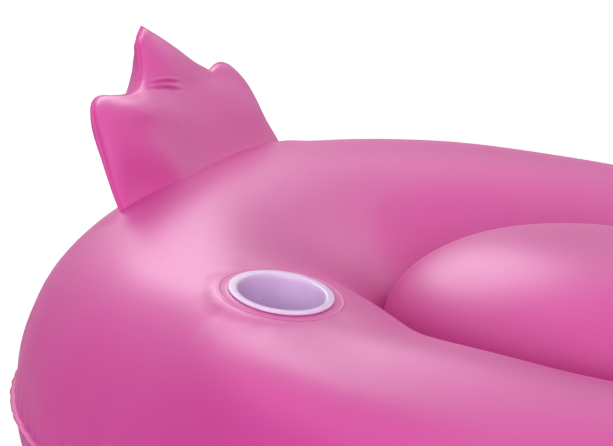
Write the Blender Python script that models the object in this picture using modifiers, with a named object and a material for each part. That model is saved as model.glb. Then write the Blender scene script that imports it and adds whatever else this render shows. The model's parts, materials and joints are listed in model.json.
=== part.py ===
# Inflatable ride-on pool float: an oval ring with a crowned seat, a tail fan, a curved neck and a head.
# The bow faces -Y, the tail +Y, the rider's left +X. The float rests on Z = 0, centred on the origin.
# Every air chamber is made of thin vinyl sheets that are welded edge to edge.

import math

import bmesh
import bpy
from mathutils import Matrix, Vector

# Vinyl sheets and their weld seams
FILM = 0.0005
FLANGE_WIDTH = 0.006
GAP = 0.0003
OVERRUN = 0.02
MERGE_DISTANCE = 0.00001
SHARP_DEG = 50

# Hull ring
HULL_LENGTH = 1.44
HULL_WIDTH = 0.848
SEAM_HEIGHT = 0.195
DECK_RISE = 0.228
FLOOR_SAG = 0.010
OUTLINE_ROUNDNESS_SHARE = 0.8
REAR_SWELL_SHARE = 0.03
VALLEY_DEG = 141
VALLEY_TURN_DEG = 7
RING_COLUMNS = 48
DECK_ROWS = 9
BELLY_ROWS = 4

# Seat cushion, welded into the valley of the ring
SEAT_LENGTH = 0.50
SEAT_WIDTH = 0.308
SEAT_CENTRE_Y = 0.046
CUSHION_RISE = 0.124
SEAT_BELLY_DROP = 0.045
CUSHION_FULLNESS = 2.3
CUSHION_ROW_SHARES = (1.0, 0.985, 0.94, 0.84, 0.64, 0.34)
SEAT_BELLY_ROW_SHARES = (1.0, 0.8, 0.45)

# Cup holder, in a flat that the stiff rim pulls into the deck
CUP_TURN_DEG = 153.5
CUP_DECK_SHARE = 0.602
CUP_LEAN_DEG = 5.2
CUP_SIDE_LEAN_DEG = 3.9
CUP_SINK = 0.004
CUP_RIM_RADIUS = 0.0538
CUP_RIM_THICKNESS = 0.0025
CUP_WELL_RADIUS = 0.0455
CUP_FOOT_RADIUS = 0.0400
CUP_DEPTH = 0.085
CUP_WALL = 0.0015
CUP_ROUNDING = 0.005
WELD_RING_RADIUS = 0.0648
FLAT_MARGIN = 0.014
FLAT_FADE = 0.055
FLAT_STEPS = 2

# Tail fan
TAIL_WIDTH = 0.296
TAIL_HEIGHT = 0.180
TAIL_LEAN_DEG = 30
TAIL_DECK_SHARE = 0.46
TAIL_FRONT_BULGE = 0.030
TAIL_BACK_BULGE = 0.042
TAIL_HUB_SHARE = 0.20
TAIL_WAIST_SHARE = 0.45
TAIL_ROW_SHARES = (1.0, 0.95, 0.82, 0.58, 0.30)
TAIL_OUTLINE_SHARES = (
    (0.0, 1.0),
    (0.083, 0.87),
    (0.173, 0.70),
    (0.247, 0.594),
    (0.300, 0.632),
    (0.350, 0.648),
    (0.402, 0.618),
    (0.446, 0.520),
    (0.474, 0.344),
    (0.486, 0.167),
    (0.500, 0.0),
    (0.500, -0.20),
    (0.450, -0.42),
    (0.280, -0.60),
    (0.0, -0.66),
)

# Neck, head and beak: forward and up as shares of the neck's height, deep and wide as shares of its girth
NECK_HEIGHT = 0.60
NECK_GIRTH = 0.136
NECK_SETBACK = 0.268
STEPS_PER_STATION = 2
TANGENT_STEP_SHARE = 0.01
HALF_SECTION_COLUMNS = 8
BEAK_STATION = 11
BEAK_TIP_STATION = 13
NECK_STATION_SHARES = (
    (0.0, -0.205, 1.00, 0.93),
    (0.0, -0.038, 0.95, 0.88),
    (-0.020, 0.128, 0.77, 0.72),
    (-0.067, 0.295, 0.62, 0.59),
    (-0.113, 0.462, 0.54, 0.51),
    (-0.140, 0.628, 0.49, 0.48),
    (-0.130, 0.780, 0.47, 0.46),
    (-0.075, 0.905, 0.51, 0.50),
    (0.020, 0.990, 0.58, 0.59),
    (0.135, 1.005, 0.62, 0.63),
    (0.240, 0.950, 0.53, 0.52),
    (0.310, 0.865, 0.41, 0.38),
    (0.350, 0.760, 0.36, 0.31),
    (0.370, 0.665, 0.30, 0.26),
    (0.360, 0.575, 0.18, 0.17),
    (0.320, 0.510, 0.06, 0.07),
)

# Valves: a welded collar, a stem that slides in it, a check flap below and a stopper plug in the bore
VALVE_FLANGE_RADIUS = 0.0185
VALVE_FLANGE_THICKNESS = 0.0014
VALVE_WELL_RADIUS = 0.0120
VALVE_WELL_WALL = 0.0012
VALVE_WELL_DEPTH = 0.018
STEM_BORE_RADIUS = 0.0055
STEM_LENGTH = 0.024
FLAP_OVERLAP = 0.0018
FLAP_THICKNESS = 0.0008
PLUG_CAP_THICKNESS = 0.003
PLUG_LENGTH = 0.009
PLUG_TAPER = 0.0006
TAB_LENGTH = 0.008
TAB_WIDTH = 0.006
TAB_THICKNESS = 0.0012
TURNED_STEPS = 16

# Where the sheets carry the valves and the handle pads: the cell that holds each place is made flat
HULL_VALVE_TURN_DEG = -11.25
HULL_VALVE_DECK_SHARE = 0.167
SEAT_VALVE_TURN_DEG = -78.75
SEAT_VALVE_ROW_SHARE = 0.89
NECK_VALVE_TURN_DEG = 123.75
NECK_VALVE_ROUTE_SHARE = 0.205
HANDLE_FRONT_TURN_DEG = -48.75
HANDLE_REAR_TURN_DEG = -26.25
HANDLE_DECK_SHARE = 0.611

# Handles: a moulded grip whose ends turn in the eyes of two welded pads
GRIP_RADIUS = 0.0065
GRIP_RISE = 0.040
GRIP_END = 0.0065
PAD_RADIUS = 0.019
PAD_THICKNESS = 0.002
PAD_POST_RADIUS = 0.0100
PAD_EYE_HEIGHT = 0.0125
PAD_EYE_WALL = 0.003
GRIP_SIDES_RESOLUTION = 2
GRIP_ARCH_SHARES = ((0.15, 0.06), (0.19, 0.35), (0.25, 0.72), (0.34, 0.93), (0.5, 1.0))

NECK_TIP_STATION = len(NECK_STATION_SHARES) - 1
SEAM_OFFSET = FILM + GAP / 2
STEM_RADIUS = VALVE_WELL_RADIUS - VALVE_WELL_WALL - GAP

PINK = (0.617, 0.091, 0.323)
WARM_PINK = (0.645, 0.114, 0.356)
LAVENDER = (0.840, 0.604, 0.880)
WHITE = (0.900, 0.890, 0.885)
BLACK = (0.012, 0.011, 0.013)
CLEAR = (0.800, 0.760, 0.800)


# Scene, collections and materials


def clear_scene():
    for obj in list(bpy.data.objects):
        bpy.data.objects.remove(obj, do_unlink=True)


def new_collection(name):
    collection = bpy.data.collections.new(name)
    bpy.context.scene.collection.children.link(collection)
    return collection


def new_material(name, colour, roughness):
    material = bpy.data.materials.new(name)
    material.use_nodes = True
    shader = material.node_tree.nodes["Principled BSDF"]
    shader.inputs["Base Color"].default_value = (*colour, 1.0)
    shader.inputs["Roughness"].default_value = roughness
    shader.inputs["Metallic"].default_value = 0.0
    return material


clear_scene()
FLOAT = new_collection("ride_on_pool_float")
CUTTERS = new_collection("cutters")


def add_part(name, mesh, look, frame=None):
    obj = bpy.data.objects.new(name, mesh)
    obj.data.materials.append(look)
    obj.data.shade_smooth()
    obj.data.set_sharp_from_angle(angle=math.radians(SHARP_DEG))
    if frame is not None:
        obj.matrix_world = frame
    FLOAT.objects.link(obj)
    return obj


def add_cutter(name, mesh, frame=None):
    obj = bpy.data.objects.new(name, mesh)
    obj.hide_render = True
    obj.display_type = "WIRE"
    if frame is not None:
        obj.matrix_world = frame
    CUTTERS.objects.link(obj)
    return obj


def to_mesh(bm, name):
    mesh = bpy.data.meshes.new(name)
    bm.normal_update()
    bm.to_mesh(mesh)
    bm.free()
    return mesh


# Modifiers


def solidify(obj, even=True):
    modifier = obj.modifiers.new("film", "SOLIDIFY")
    modifier.thickness = FILM
    modifier.offset = -1
    modifier.use_even_offset = even
    modifier.use_quality_normals = True


def boolean(obj, cutter, operation="DIFFERENCE"):
    modifier = obj.modifiers.new(operation.lower(), "BOOLEAN")
    modifier.operation = operation
    modifier.object = cutter
    modifier.solver = "EXACT"


# Lofts between rows of points, and turned shapes


def loft(grid, closed=True, flip=False, pole=None):
    """Faces look along column direction x row direction. A pole closes the last row with a fan."""
    bm = bmesh.new()
    rows = [[bm.verts.new(point) for point in row] for row in grid]
    columns = len(grid[0])
    spans = columns if closed else columns - 1
    faces = []
    for upper, lower in zip(rows, rows[1:]):
        for c in range(spans):
            n = (c + 1) % columns
            faces.append((upper[c], upper[n], lower[n], lower[c]))
    if pole is not None:
        tip = bm.verts.new(pole)
        for c in range(spans):
            faces.append((rows[-1][c], rows[-1][(c + 1) % columns], tip))
    for face in faces:
        bm.faces.new(face[::-1] if flip else face)
    return bm


def turned(name, profile, look, frame, closed=False, steps=TURNED_STEPS):
    """A profile in the XZ plane that runs down its outer side, turned about Z."""
    mesh = bpy.data.meshes.new(name)
    count = len(profile)
    edges = [(i, (i + 1) % count) for i in range(count if closed else count - 1)]
    mesh.from_pydata([(x, 0, z) for x, z in profile], edges, [])
    obj = add_part(name, mesh, look, frame)
    modifier = obj.modifiers.new("turn", "SCREW")
    modifier.steps = steps
    modifier.render_steps = steps
    modifier.use_merge_vertices = True
    modifier.merge_threshold = MERGE_DISTANCE
    modifier.use_smooth_shade = True
    return obj


def cylinder_cutter(name, radius, depth, frame, segments=TURNED_STEPS):
    bm = bmesh.new()
    bmesh.ops.create_cone(
        bm, cap_ends=True, segments=segments, radius1=radius, radius2=radius, depth=depth
    )
    return add_cutter(name, to_mesh(bm, name), frame)


def frame_at(origin, across, out):
    """A frame whose Z is out and whose X is as near across as a right angle allows."""
    z = out.normalized()
    y = z.cross(across).normalized()
    x = y.cross(z)
    rotation = Matrix((x, y, z)).transposed()
    return Matrix.Translation(origin) @ rotation.to_4x4()


def raised(frame, height):
    return frame @ Matrix.Translation((0, 0, height))


def column_at(degrees):
    """The column of the ring's rows that holds a turn."""
    return math.floor(math.radians(degrees) / math.tau * RING_COLUMNS)


def flatten_cell(grid, row, column):
    """Makes one cell of a grid flat and returns the frame of its middle, Z out of the sheet."""
    columns = len(grid[0])
    column %= columns
    after = (column + 1) % columns
    keys = ((row, column), (row, after), (row + 1, after), (row + 1, column))
    a, b, c, d = (grid[r][k] for r, k in keys)
    middle = (a + b + c + d) / 4
    along = b - a + c - d
    out = along.cross(c - b + d - a).normalized()
    for r, k in keys:
        grid[r][k] = grid[r][k] - out * (grid[r][k] - middle).dot(out)
    return frame_at(middle, along, out)


# Hull ring


def power_of(value, exponent):
    return math.copysign(abs(value) ** exponent, value)


def column_turns():
    return [math.tau * column / RING_COLUMNS for column in range(RING_COLUMNS)]


def outline_point(turn, height, grow=0.0):
    """A point of the oval weld round the hull, pushed outward by grow."""
    across = power_of(math.cos(turn), OUTLINE_ROUNDNESS_SHARE) * (1 + REAR_SWELL_SHARE * math.sin(turn))
    along = power_of(math.sin(turn), OUTLINE_ROUNDNESS_SHARE)
    return Vector(((HULL_WIDTH / 2 + grow) * across, (HULL_LENGTH / 2 + grow) * along, height))


def seat_oval(turn, height, inset=0.0):
    x = (SEAT_WIDTH / 2 - inset) * math.cos(turn)
    y = SEAT_CENTRE_Y + (SEAT_LENGTH / 2 - inset) * math.sin(turn)
    return Vector((x, y, height))


def valley_swing(turn):
    return math.radians(VALLEY_DEG + VALLEY_TURN_DEG * math.sin(turn))


def ring_point(turn, share, lift):
    """A point on the ring's section: share 0 is the outer weld, share 1 the seam at the seat."""
    swing = share * valley_swing(turn)
    across = (1 - math.cos(swing)) / (1 - math.cos(valley_swing(turn)))
    point = outline_point(turn, 0).lerp(seat_oval(turn, 0), across)
    point.z = SEAM_HEIGHT + lift * math.sin(swing)
    return point


def deck_point(turn, share):
    point = ring_point(turn, share, DECK_RISE)
    point.z += SEAM_OFFSET
    return point


def valley_height(turn):
    return deck_point(turn, 1.0).z


def deck_grid():
    turns = column_turns()
    flange = [outline_point(turn, SEAM_HEIGHT + SEAM_OFFSET, FLANGE_WIDTH) for turn in turns]
    rows = [[deck_point(turn, row / DECK_ROWS) for turn in turns] for row in range(DECK_ROWS + 1)]
    return [flange] + rows


def deck_row(share):
    """The row of the deck's cells that holds a share; row 0 is the weld flange."""
    return 1 + math.floor(share * DECK_ROWS)


def belly_point(turn, share):
    point = ring_point(turn, share, -(SEAM_HEIGHT + FLOOR_SAG))
    point.z = max(0.0, point.z - SEAM_OFFSET)
    return point


def belly_shares():
    """Rows down to the flat that rests on the floor, across it, and up to the seat."""
    start = math.asin(SEAM_HEIGHT / (SEAM_HEIGHT + FLOOR_SAG)) / math.radians(VALLEY_DEG)
    end = math.pi / math.radians(VALLEY_DEG) - start
    down = [start * row / BELLY_ROWS for row in range(BELLY_ROWS + 1)]
    return down + [(start + end) / 2, end, (end + 1.0) / 2, 1.0]


def belly_grid():
    turns = column_turns()
    flange = [outline_point(turn, SEAM_HEIGHT - SEAM_OFFSET, FLANGE_WIDTH) for turn in turns]
    rows = [[belly_point(turn, share) for turn in turns] for share in belly_shares()]
    return [flange] + rows


def cup_frame():
    """The flat that carries the cup: sunk a little and leaning to the bow and to the seat."""
    centre = deck_point(math.radians(CUP_TURN_DEG), CUP_DECK_SHARE)
    across = math.tan(math.radians(CUP_SIDE_LEAN_DEG))
    along = -math.tan(math.radians(CUP_LEAN_DEG))
    out = Vector((across, along, 1)).normalized()
    return frame_at(centre - out * CUP_SINK, Vector((1, 0, 0)), out)


def smoothstep(value):
    value = min(max(value, 0.0), 1.0)
    return value * value * (3 - 2 * value)


def pull_flat(bm, frame, radius, fade):
    """Refines the sheet round a frame and pulls it into the frame's plane, fading out."""
    centre, out = frame.translation, frame.col[2].xyz
    reach = radius + fade
    near = [face for face in bm.faces if (face.calc_center_median() - centre).length < reach]
    edges = list({edge for face in near for edge in face.edges})
    bmesh.ops.subdivide_edges(bm, edges=edges, cuts=FLAT_STEPS, use_grid_fill=True)
    for vertex in bm.verts:
        offset = vertex.co - centre
        height = offset.dot(out)
        away = (offset - out * height).length
        if away < reach and abs(height) < reach:
            vertex.co -= out * (height * (1 - smoothstep((away - radius) / fade)))


def deck_surface(grid, cup):
    bm = loft(grid)
    pull_flat(bm, cup, WELD_RING_RADIUS + FLAT_MARGIN, FLAT_FADE)
    return bm


def deck_cutter(grid, cup):
    """The space that the ring takes, one gap proud of the deck, to cut what stands on it."""
    bm = deck_surface(grid, cup)
    bm.normal_update()
    for vertex in bm.verts:
        vertex.co += vertex.normal * GAP
    rim = [edge for edge in bm.edges if edge.is_boundary]
    walls = bmesh.ops.extrude_edge_only(bm, edges=rim)["geom"]
    for item in walls:
        if isinstance(item, bmesh.types.BMVert):
            item.co.z = SEAM_HEIGHT - OVERRUN
    bottom = [edge for edge in bm.edges if edge.is_boundary]
    bmesh.ops.bridge_loops(bm, edges=bottom)
    bmesh.ops.recalc_face_normals(bm, faces=bm.faces)
    return add_cutter("deck_space", to_mesh(bm, "deck_space"))


def add_hull(grid, cup, valve, look):
    deck = add_part("hull_top_sheet", to_mesh(deck_surface(grid, cup), "hull_top_sheet"), look)
    solidify(deck)
    well = CUP_WELL_RADIUS + GAP
    boolean(deck, cylinder_cutter("cup_hole", well, 2 * OVERRUN, cup, 2 * TURNED_STEPS))
    boolean(deck, valve_hole("hull_valve_hole", valve))
    belly = add_part("hull_bottom_sheet", to_mesh(loft(belly_grid(), flip=True), "hull_bottom_sheet"), look)
    solidify(belly)


# Seat


def cushion_point(turn, share):
    """The cushion's crown: share 1 is its seam in the valley, share 0 its middle."""
    middle = (valley_height(math.pi / 2) + valley_height(-math.pi / 2)) / 2
    crown = math.sqrt(max(0.0, 1 - share**CUSHION_FULLNESS))
    point = Vector((0, SEAT_CENTRE_Y, 0)).lerp(seat_oval(turn, 0, GAP), share)
    point.z = middle + (valley_height(turn) - middle) * share + CUSHION_RISE * crown
    return point


def seat_belly_point(turn, share):
    """The seat's underside, from its seam at share 1 down to its middle."""
    point = Vector((0, SEAT_CENTRE_Y, 0)).lerp(seat_oval(turn, 0, GAP), share)
    seam = [belly_point(end, 1.0).z for end in (turn, math.pi / 2, -math.pi / 2)]
    middle = (seam[1] + seam[2]) / 2
    point.z = middle + (seam[0] - middle) * share - SEAT_BELLY_DROP * math.sqrt(1 - share**2)
    return point


def cushion_grid():
    turns = column_turns()
    return [[cushion_point(turn, share) for turn in turns] for share in CUSHION_ROW_SHARES]


def flatten_for_seat_valve(grid):
    above = [share for share in CUSHION_ROW_SHARES if share > SEAT_VALVE_ROW_SHARE]
    return flatten_cell(grid, len(above) - 1, column_at(SEAT_VALVE_TURN_DEG))


def add_seat(grid, valve, look):
    top = to_mesh(loft(grid, pole=cushion_point(0, 0)), "seat_top_sheet")
    top = add_part("seat_top_sheet", top, look)
    solidify(top)
    boolean(top, valve_hole("seat_valve_hole", valve))
    turns = column_turns()
    rows = [[seat_belly_point(turn, share) for turn in turns] for share in SEAT_BELLY_ROW_SHARES]
    bottom = to_mesh(loft(rows, flip=True, pole=seat_belly_point(0, 0)), "seat_bottom_sheet")
    solidify(add_part("seat_bottom_sheet", bottom, look))
    add_baffle(turns, look)


def add_baffle(turns, look):
    """The wall between the ring's air and the seat's, from the upper seam to the lower one."""
    step = FILM + GAP
    top = [seat_oval(turn, valley_height(turn) - step) for turn in turns]
    bottom = [seat_oval(turn, belly_point(turn, 1.0).z + step) for turn in turns]
    wall = to_mesh(loft([top, bottom], flip=True), "seat_ring_baffle")
    solidify(add_part("seat_ring_baffle", wall, look))


# Cup holder


def add_cup_holder(cup, lavender, pink):
    hole = CUP_WELL_RADIUS + GAP
    ring = [
        (WELD_RING_RADIUS, FILM),
        (WELD_RING_RADIUS, 0),
        (hole, 0),
        (hole, FILM),
    ]
    turned("cup_holder_weld_ring", ring, pink, raised(cup, GAP), closed=True, steps=2 * TURNED_STEPS)
    lip = CUP_RIM_THICKNESS
    inner = CUP_WELL_RADIUS - CUP_WALL
    foot = CUP_FOOT_RADIUS - CUP_WALL
    profile = [
        (0, CUP_WALL - CUP_DEPTH),
        (foot - CUP_ROUNDING, CUP_WALL - CUP_DEPTH),
        (foot, CUP_WALL + CUP_ROUNDING - CUP_DEPTH),
        (inner, 0),
        (inner + CUP_WALL, lip),
        (CUP_RIM_RADIUS - CUP_WALL, lip),
        (CUP_RIM_RADIUS, lip / 2),
        (CUP_RIM_RADIUS, 0),
        (CUP_WELL_RADIUS, 0),
        (CUP_FOOT_RADIUS, CUP_ROUNDING - CUP_DEPTH),
        (CUP_FOOT_RADIUS - CUP_ROUNDING, -CUP_DEPTH),
        (0, -CUP_DEPTH),
    ]
    turned("cup_holder_cup", profile, lavender, raised(cup, FILM + 2 * GAP), steps=2 * TURNED_STEPS)


# Tail


def tail_frame():
    """X across, Y up the lean, Z out of the front of the fan."""
    foot = deck_point(math.pi / 2, TAIL_DECK_SHARE)
    lean = math.radians(TAIL_LEAN_DEG)
    return frame_at(foot, Vector((1, 0, 0)), Vector((0, -math.cos(lean), math.sin(lean))))


def tail_outline():
    half = [(TAIL_WIDTH * x, TAIL_HEIGHT * y) for x, y in TAIL_OUTLINE_SHARES]
    return half + [(-x, y) for x, y in half[-2:0:-1]]


def tail_grid(bulge):
    """Rows from the weld flange in to the hub; bulge is the crown on this side of the seam."""
    side = math.copysign(1, bulge)
    hub_y = TAIL_HEIGHT * TAIL_HUB_SHARE
    rows = []
    for row, share in enumerate((1.0,) + TAIL_ROW_SHARES):
        points = []
        for x, y in tail_outline():
            reach = math.hypot(x, y - hub_y)
            grown = share + (FLANGE_WIDTH / reach if row == 0 else 0)
            height = hub_y + (y - hub_y) * grown
            waist = TAIL_WAIST_SHARE + (1 - TAIL_WAIST_SHARE) * smoothstep(2 * height / TAIL_HEIGHT)
            crown = bulge * waist * math.sqrt(max(0.0, 1 - share**2))
            points.append(Vector((x * grown, height, side * SEAM_OFFSET + crown)))
        rows.append(points)
    return rows


def add_tail(deck_space, look):
    frame = tail_frame()
    for name, bulge in (("tail_front_sheet", TAIL_FRONT_BULGE), ("tail_back_sheet", -TAIL_BACK_BULGE)):
        grid = tail_grid(bulge)
        hub = sum(grid[-1], Vector()) / len(grid[-1])
        hub.z = math.copysign(SEAM_OFFSET, bulge) + bulge
        bm = loft(grid, flip=bulge > 0, pole=hub)
        sheet = add_part(name, to_mesh(bm, name), look, frame)
        solidify(sheet)
        boolean(sheet, deck_space)


# Neck, head and beak


def neck_foot():
    return Vector((0, NECK_SETBACK - HULL_LENGTH / 2, SEAM_HEIGHT + DECK_RISE))


def blend_stations(values, at):
    """A smooth curve through the table's rows, read at a row number that may be a fraction."""
    last = len(values) - 1
    at = min(max(at, 0), last)
    left = min(int(at), last - 1)
    t = at - left
    before, start = values[max(left - 1, 0)], values[left]
    end, after = values[left + 1], values[min(left + 2, last)]
    result = []
    for p, a, b, q in zip(before, start, end, after):
        slope_a, slope_b = (b - p) / 2, (q - a) / 2
        rise = (3 * t**2 - 2 * t**3) * (b - a)
        bend = (t**3 - 2 * t**2 + t) * slope_a + (t**3 - t**2) * slope_b
        result.append(a + rise + bend)
    return result


def neck_station(at):
    """Centre, tangent and the two half sizes of the section at a station number."""
    forward, up, deep, wide = blend_stations(NECK_STATION_SHARES, at)
    ahead = blend_stations(NECK_STATION_SHARES, at + TANGENT_STEP_SHARE)
    behind = blend_stations(NECK_STATION_SHARES, at - TANGENT_STEP_SHARE)
    centre = neck_foot() + NECK_HEIGHT * Vector((0, -forward, up))
    tangent = Vector((0, behind[0] - ahead[0], ahead[1] - behind[1])).normalized()
    return centre, tangent, NECK_GIRTH * deep, NECK_GIRTH * wide


def half_section(at, side, pinched=False, beyond=0.0):
    """From the front flange round one side to the back flange."""
    centre, tangent, deep, wide = neck_station(at)
    centre = centre + tangent * beyond
    front = Vector((0, tangent.z, -tangent.y)) * -1
    seam = side * SEAM_OFFSET
    points = [centre + front * (deep + FLANGE_WIDTH)]
    for column in range(HALF_SECTION_COLUMNS + 1):
        angle = math.pi * column / HALF_SECTION_COLUMNS
        out = 0.0 if pinched else side * wide * math.sin(angle)
        points.append(centre + front * (deep * math.cos(angle)) + Vector((out, 0, 0)))
    points.append(centre - front * (deep + FLANGE_WIDTH))
    return [point + Vector((seam, 0, 0)) for point in points]


def station_slack(at):
    """Half a gap along the route, counted in stations."""
    span = neck_station(at + 0.5)[0] - neck_station(at - 0.5)[0]
    return GAP / 2 / span.length


def neck_rows(first, last, side):
    """Rows of one welded piece between two stations, half a gap clear of the seam at each."""
    tip = last == NECK_TIP_STATION
    start = first + station_slack(first) if first else 0
    end = last if tip else last - station_slack(last)
    count = (last - first) * STEPS_PER_STATION
    rows = [half_section(start + (end - start) * step / count, side) for step in range(count + 1)]
    if tip:
        closed = NECK_GIRTH * NECK_STATION_SHARES[-1][2]
        for beyond in (closed, closed + FLANGE_WIDTH):
            rows.append(half_section(last, side, pinched=True, beyond=beyond))
    return rows


def neck_pieces():
    return (
        ("neck_head", 0, BEAK_STATION),
        ("beak", BEAK_STATION, BEAK_TIP_STATION),
        ("beak_tip", BEAK_TIP_STATION, NECK_TIP_STATION),
    )


def flatten_for_neck_valve(rows):
    """The sections start with the front flange, so the film's first column is column one."""
    row = math.floor(NECK_VALVE_ROUTE_SHARE * (len(rows) - 1))
    column = 1 + math.floor(math.radians(NECK_VALVE_TURN_DEG) / math.pi * HALF_SECTION_COLUMNS)
    return flatten_cell(rows, row, column)


def add_neck(deck_space, pink, white, black):
    looks = {"neck_head": pink, "beak": white, "beak_tip": black}
    valve = None
    for side, word in ((1, "port"), (-1, "starboard")):
        for piece, first, last in neck_pieces():
            rows = neck_rows(first, last, side)
            carries_valve = side > 0 and first == 0
            if carries_valve:
                valve = flatten_for_neck_valve(rows)
            name = f"{piece}_{word}_sheet"
            bm = loft(rows, closed=False, flip=side < 0)
            sheet = add_part(name, to_mesh(bm, name), looks[piece])
            solidify(sheet, even=False)
            if first == 0:
                boolean(sheet, deck_space)
            if carries_valve:
                boolean(sheet, valve_hole("neck_valve_hole", valve))
    return valve


# Valves


def valve_hole(name, frame):
    return cylinder_cutter(name, VALVE_WELL_RADIUS + GAP, 2 * OVERRUN, frame)


def add_valve(name, frame, look, clear):
    """Stands on the sheet at the frame, whose Z is out of the float."""
    base = raised(frame, GAP)
    bore = VALVE_WELL_RADIUS - VALVE_WELL_WALL
    collar = [
        (VALVE_FLANGE_RADIUS, VALVE_FLANGE_THICKNESS),
        (VALVE_FLANGE_RADIUS, 0),
        (VALVE_WELL_RADIUS, 0),
        (VALVE_WELL_RADIUS, -VALVE_WELL_DEPTH),
        (bore, -VALVE_WELL_DEPTH),
        (bore, VALVE_FLANGE_THICKNESS),
    ]
    turned(f"{name}_valve_collar", collar, look, base, closed=True)
    stem_top = VALVE_FLANGE_THICKNESS - PLUG_CAP_THICKNESS
    stem = [
        (STEM_RADIUS, 0),
        (STEM_RADIUS, -STEM_LENGTH),
        (STEM_BORE_RADIUS, -STEM_LENGTH),
        (STEM_BORE_RADIUS, 0),
    ]
    stem_frame = raised(base, stem_top)
    turned(f"{name}_valve_stem", stem, look, stem_frame, closed=True)
    add_flap(f"{name}_valve_flap", raised(stem_frame, -STEM_LENGTH - GAP), clear)
    add_plug(f"{name}_valve_plug", raised(stem_frame, GAP), look)


def add_flap(name, frame, look):
    """A disc under the stem's bore, hinged at its edge, so its origin lies there."""
    radius = STEM_BORE_RADIUS + FLAP_OVERLAP
    bm = bmesh.new()
    bmesh.ops.create_cone(
        bm, cap_ends=True, segments=TURNED_STEPS, radius1=radius, radius2=radius, depth=FLAP_THICKNESS
    )
    bmesh.ops.translate(bm, verts=bm.verts, vec=(radius, 0, -FLAP_THICKNESS / 2))
    add_part(name, to_mesh(bm, name), look, frame @ Matrix.Translation((-radius, 0, 0)))


def add_plug(name, frame, look):
    spigot = STEM_BORE_RADIUS - GAP
    profile = [
        (0, PLUG_CAP_THICKNESS),
        (STEM_RADIUS - GAP, PLUG_CAP_THICKNESS),
        (STEM_RADIUS, PLUG_CAP_THICKNESS - GAP),
        (STEM_RADIUS, 0),
        (spigot, 0),
        (spigot, PLUG_TAPER - PLUG_LENGTH),
        (spigot - PLUG_TAPER, -PLUG_LENGTH),
        (0, -PLUG_LENGTH),
    ]
    plug = turned(name, profile, look, frame)
    bm = bmesh.new()
    bmesh.ops.create_cube(bm, size=1)
    bmesh.ops.scale(bm, verts=bm.verts, vec=(TAB_LENGTH, TAB_WIDTH, TAB_THICKNESS))
    middle = (STEM_RADIUS, 0, PLUG_CAP_THICKNESS + (TAB_THICKNESS - GAP) / 2)
    bmesh.ops.translate(bm, verts=bm.verts, vec=middle)
    boolean(plug, add_cutter(f"{name}_tab", to_mesh(bm, f"{name}_tab"), frame), "UNION")


# Handles


def mirrored(frame):
    """The same place on the other side of the float, still right-handed."""
    image = Matrix.Scale(-1, 4, (1, 0, 0)) @ frame
    return frame_at(image.translation, image.col[0].xyz, image.col[2].xyz)


def flatten_for_pads(grid):
    """The frames of the pads on both sides, each pair front pad first."""
    row = deck_row(HANDLE_DECK_SHARE)
    columns = [column_at(turn) for turn in (HANDLE_FRONT_TURN_DEG, HANDLE_REAR_TURN_DEG)]
    port = [flatten_cell(grid, row, column) for column in columns]
    for column in columns:
        flatten_cell(grid, row, RING_COLUMNS // 2 - 1 - column)
    return port, [mirrored(pad) for pad in port]


def handle_frame(pads):
    """X runs from one pad's eye to the other's, Z out of the deck."""
    eyes = [raised(pad, GAP + PAD_EYE_HEIGHT).translation for pad in pads]
    out = pads[0].col[2].xyz + pads[1].col[2].xyz
    return frame_at((eyes[0] + eyes[1]) / 2, eyes[1] - eyes[0], out), (eyes[1] - eyes[0]).length


def grip_route(span):
    rise = [(share * span, GRIP_RISE * up) for share, up in GRIP_ARCH_SHARES]
    route = [(-GRIP_END, 0), (PAD_POST_RADIUS, 0)] + rise
    back = [(span - x, z) for x, z in route[-2::-1]]
    return [(x - span / 2, z) for x, z in route + back]


def add_grip(name, frame, span, look):
    curve = bpy.data.curves.new(name, "CURVE")
    curve.dimensions = "3D"
    curve.bevel_depth = GRIP_RADIUS
    curve.bevel_resolution = GRIP_SIDES_RESOLUTION
    curve.use_fill_caps = True
    spline = curve.splines.new("POLY")
    route = grip_route(span)
    spline.points.add(len(route) - 1)
    for point, (x, z) in zip(spline.points, route):
        point.co = (x, 0, z, 1)
    source = bpy.data.objects.new(f"{name}_route", curve)
    FLOAT.objects.link(source)
    mesh = bpy.data.meshes.new_from_object(source.evaluated_get(bpy.context.evaluated_depsgraph_get()))
    bpy.data.objects.remove(source)
    bm = bmesh.new()
    bm.from_mesh(mesh)
    bmesh.ops.remove_doubles(bm, verts=bm.verts, dist=MERGE_DISTANCE)
    bm.to_mesh(mesh)
    bm.free()
    add_part(name, mesh, look, frame)


def add_pad(name, frame, eye, look):
    top = PAD_EYE_HEIGHT + GRIP_RADIUS + PAD_EYE_WALL
    profile = [
        (0, top),
        (PAD_POST_RADIUS - PAD_EYE_WALL, top),
        (PAD_POST_RADIUS, top - PAD_EYE_WALL),
        (PAD_POST_RADIUS, PAD_THICKNESS),
        (PAD_RADIUS, PAD_THICKNESS / 2),
        (PAD_RADIUS, 0),
        (0, 0),
    ]
    pad = turned(name, profile, look, raised(frame, GAP))
    boolean(pad, eye)


def add_handle(side, pads, look):
    frame, span = handle_frame(pads)
    turn = Matrix.Rotation(math.pi / 2, 4, "Y")
    eye = cylinder_cutter(f"handle_{side}_eye", GRIP_RADIUS + GAP, 2 * span, frame @ turn)
    add_grip(f"handle_{side}_grip", frame, span, look)
    for pad, place in zip(pads, ("front", "rear")):
        add_pad(f"handle_{side}_{place}_pad", pad, eye, look)


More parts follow.
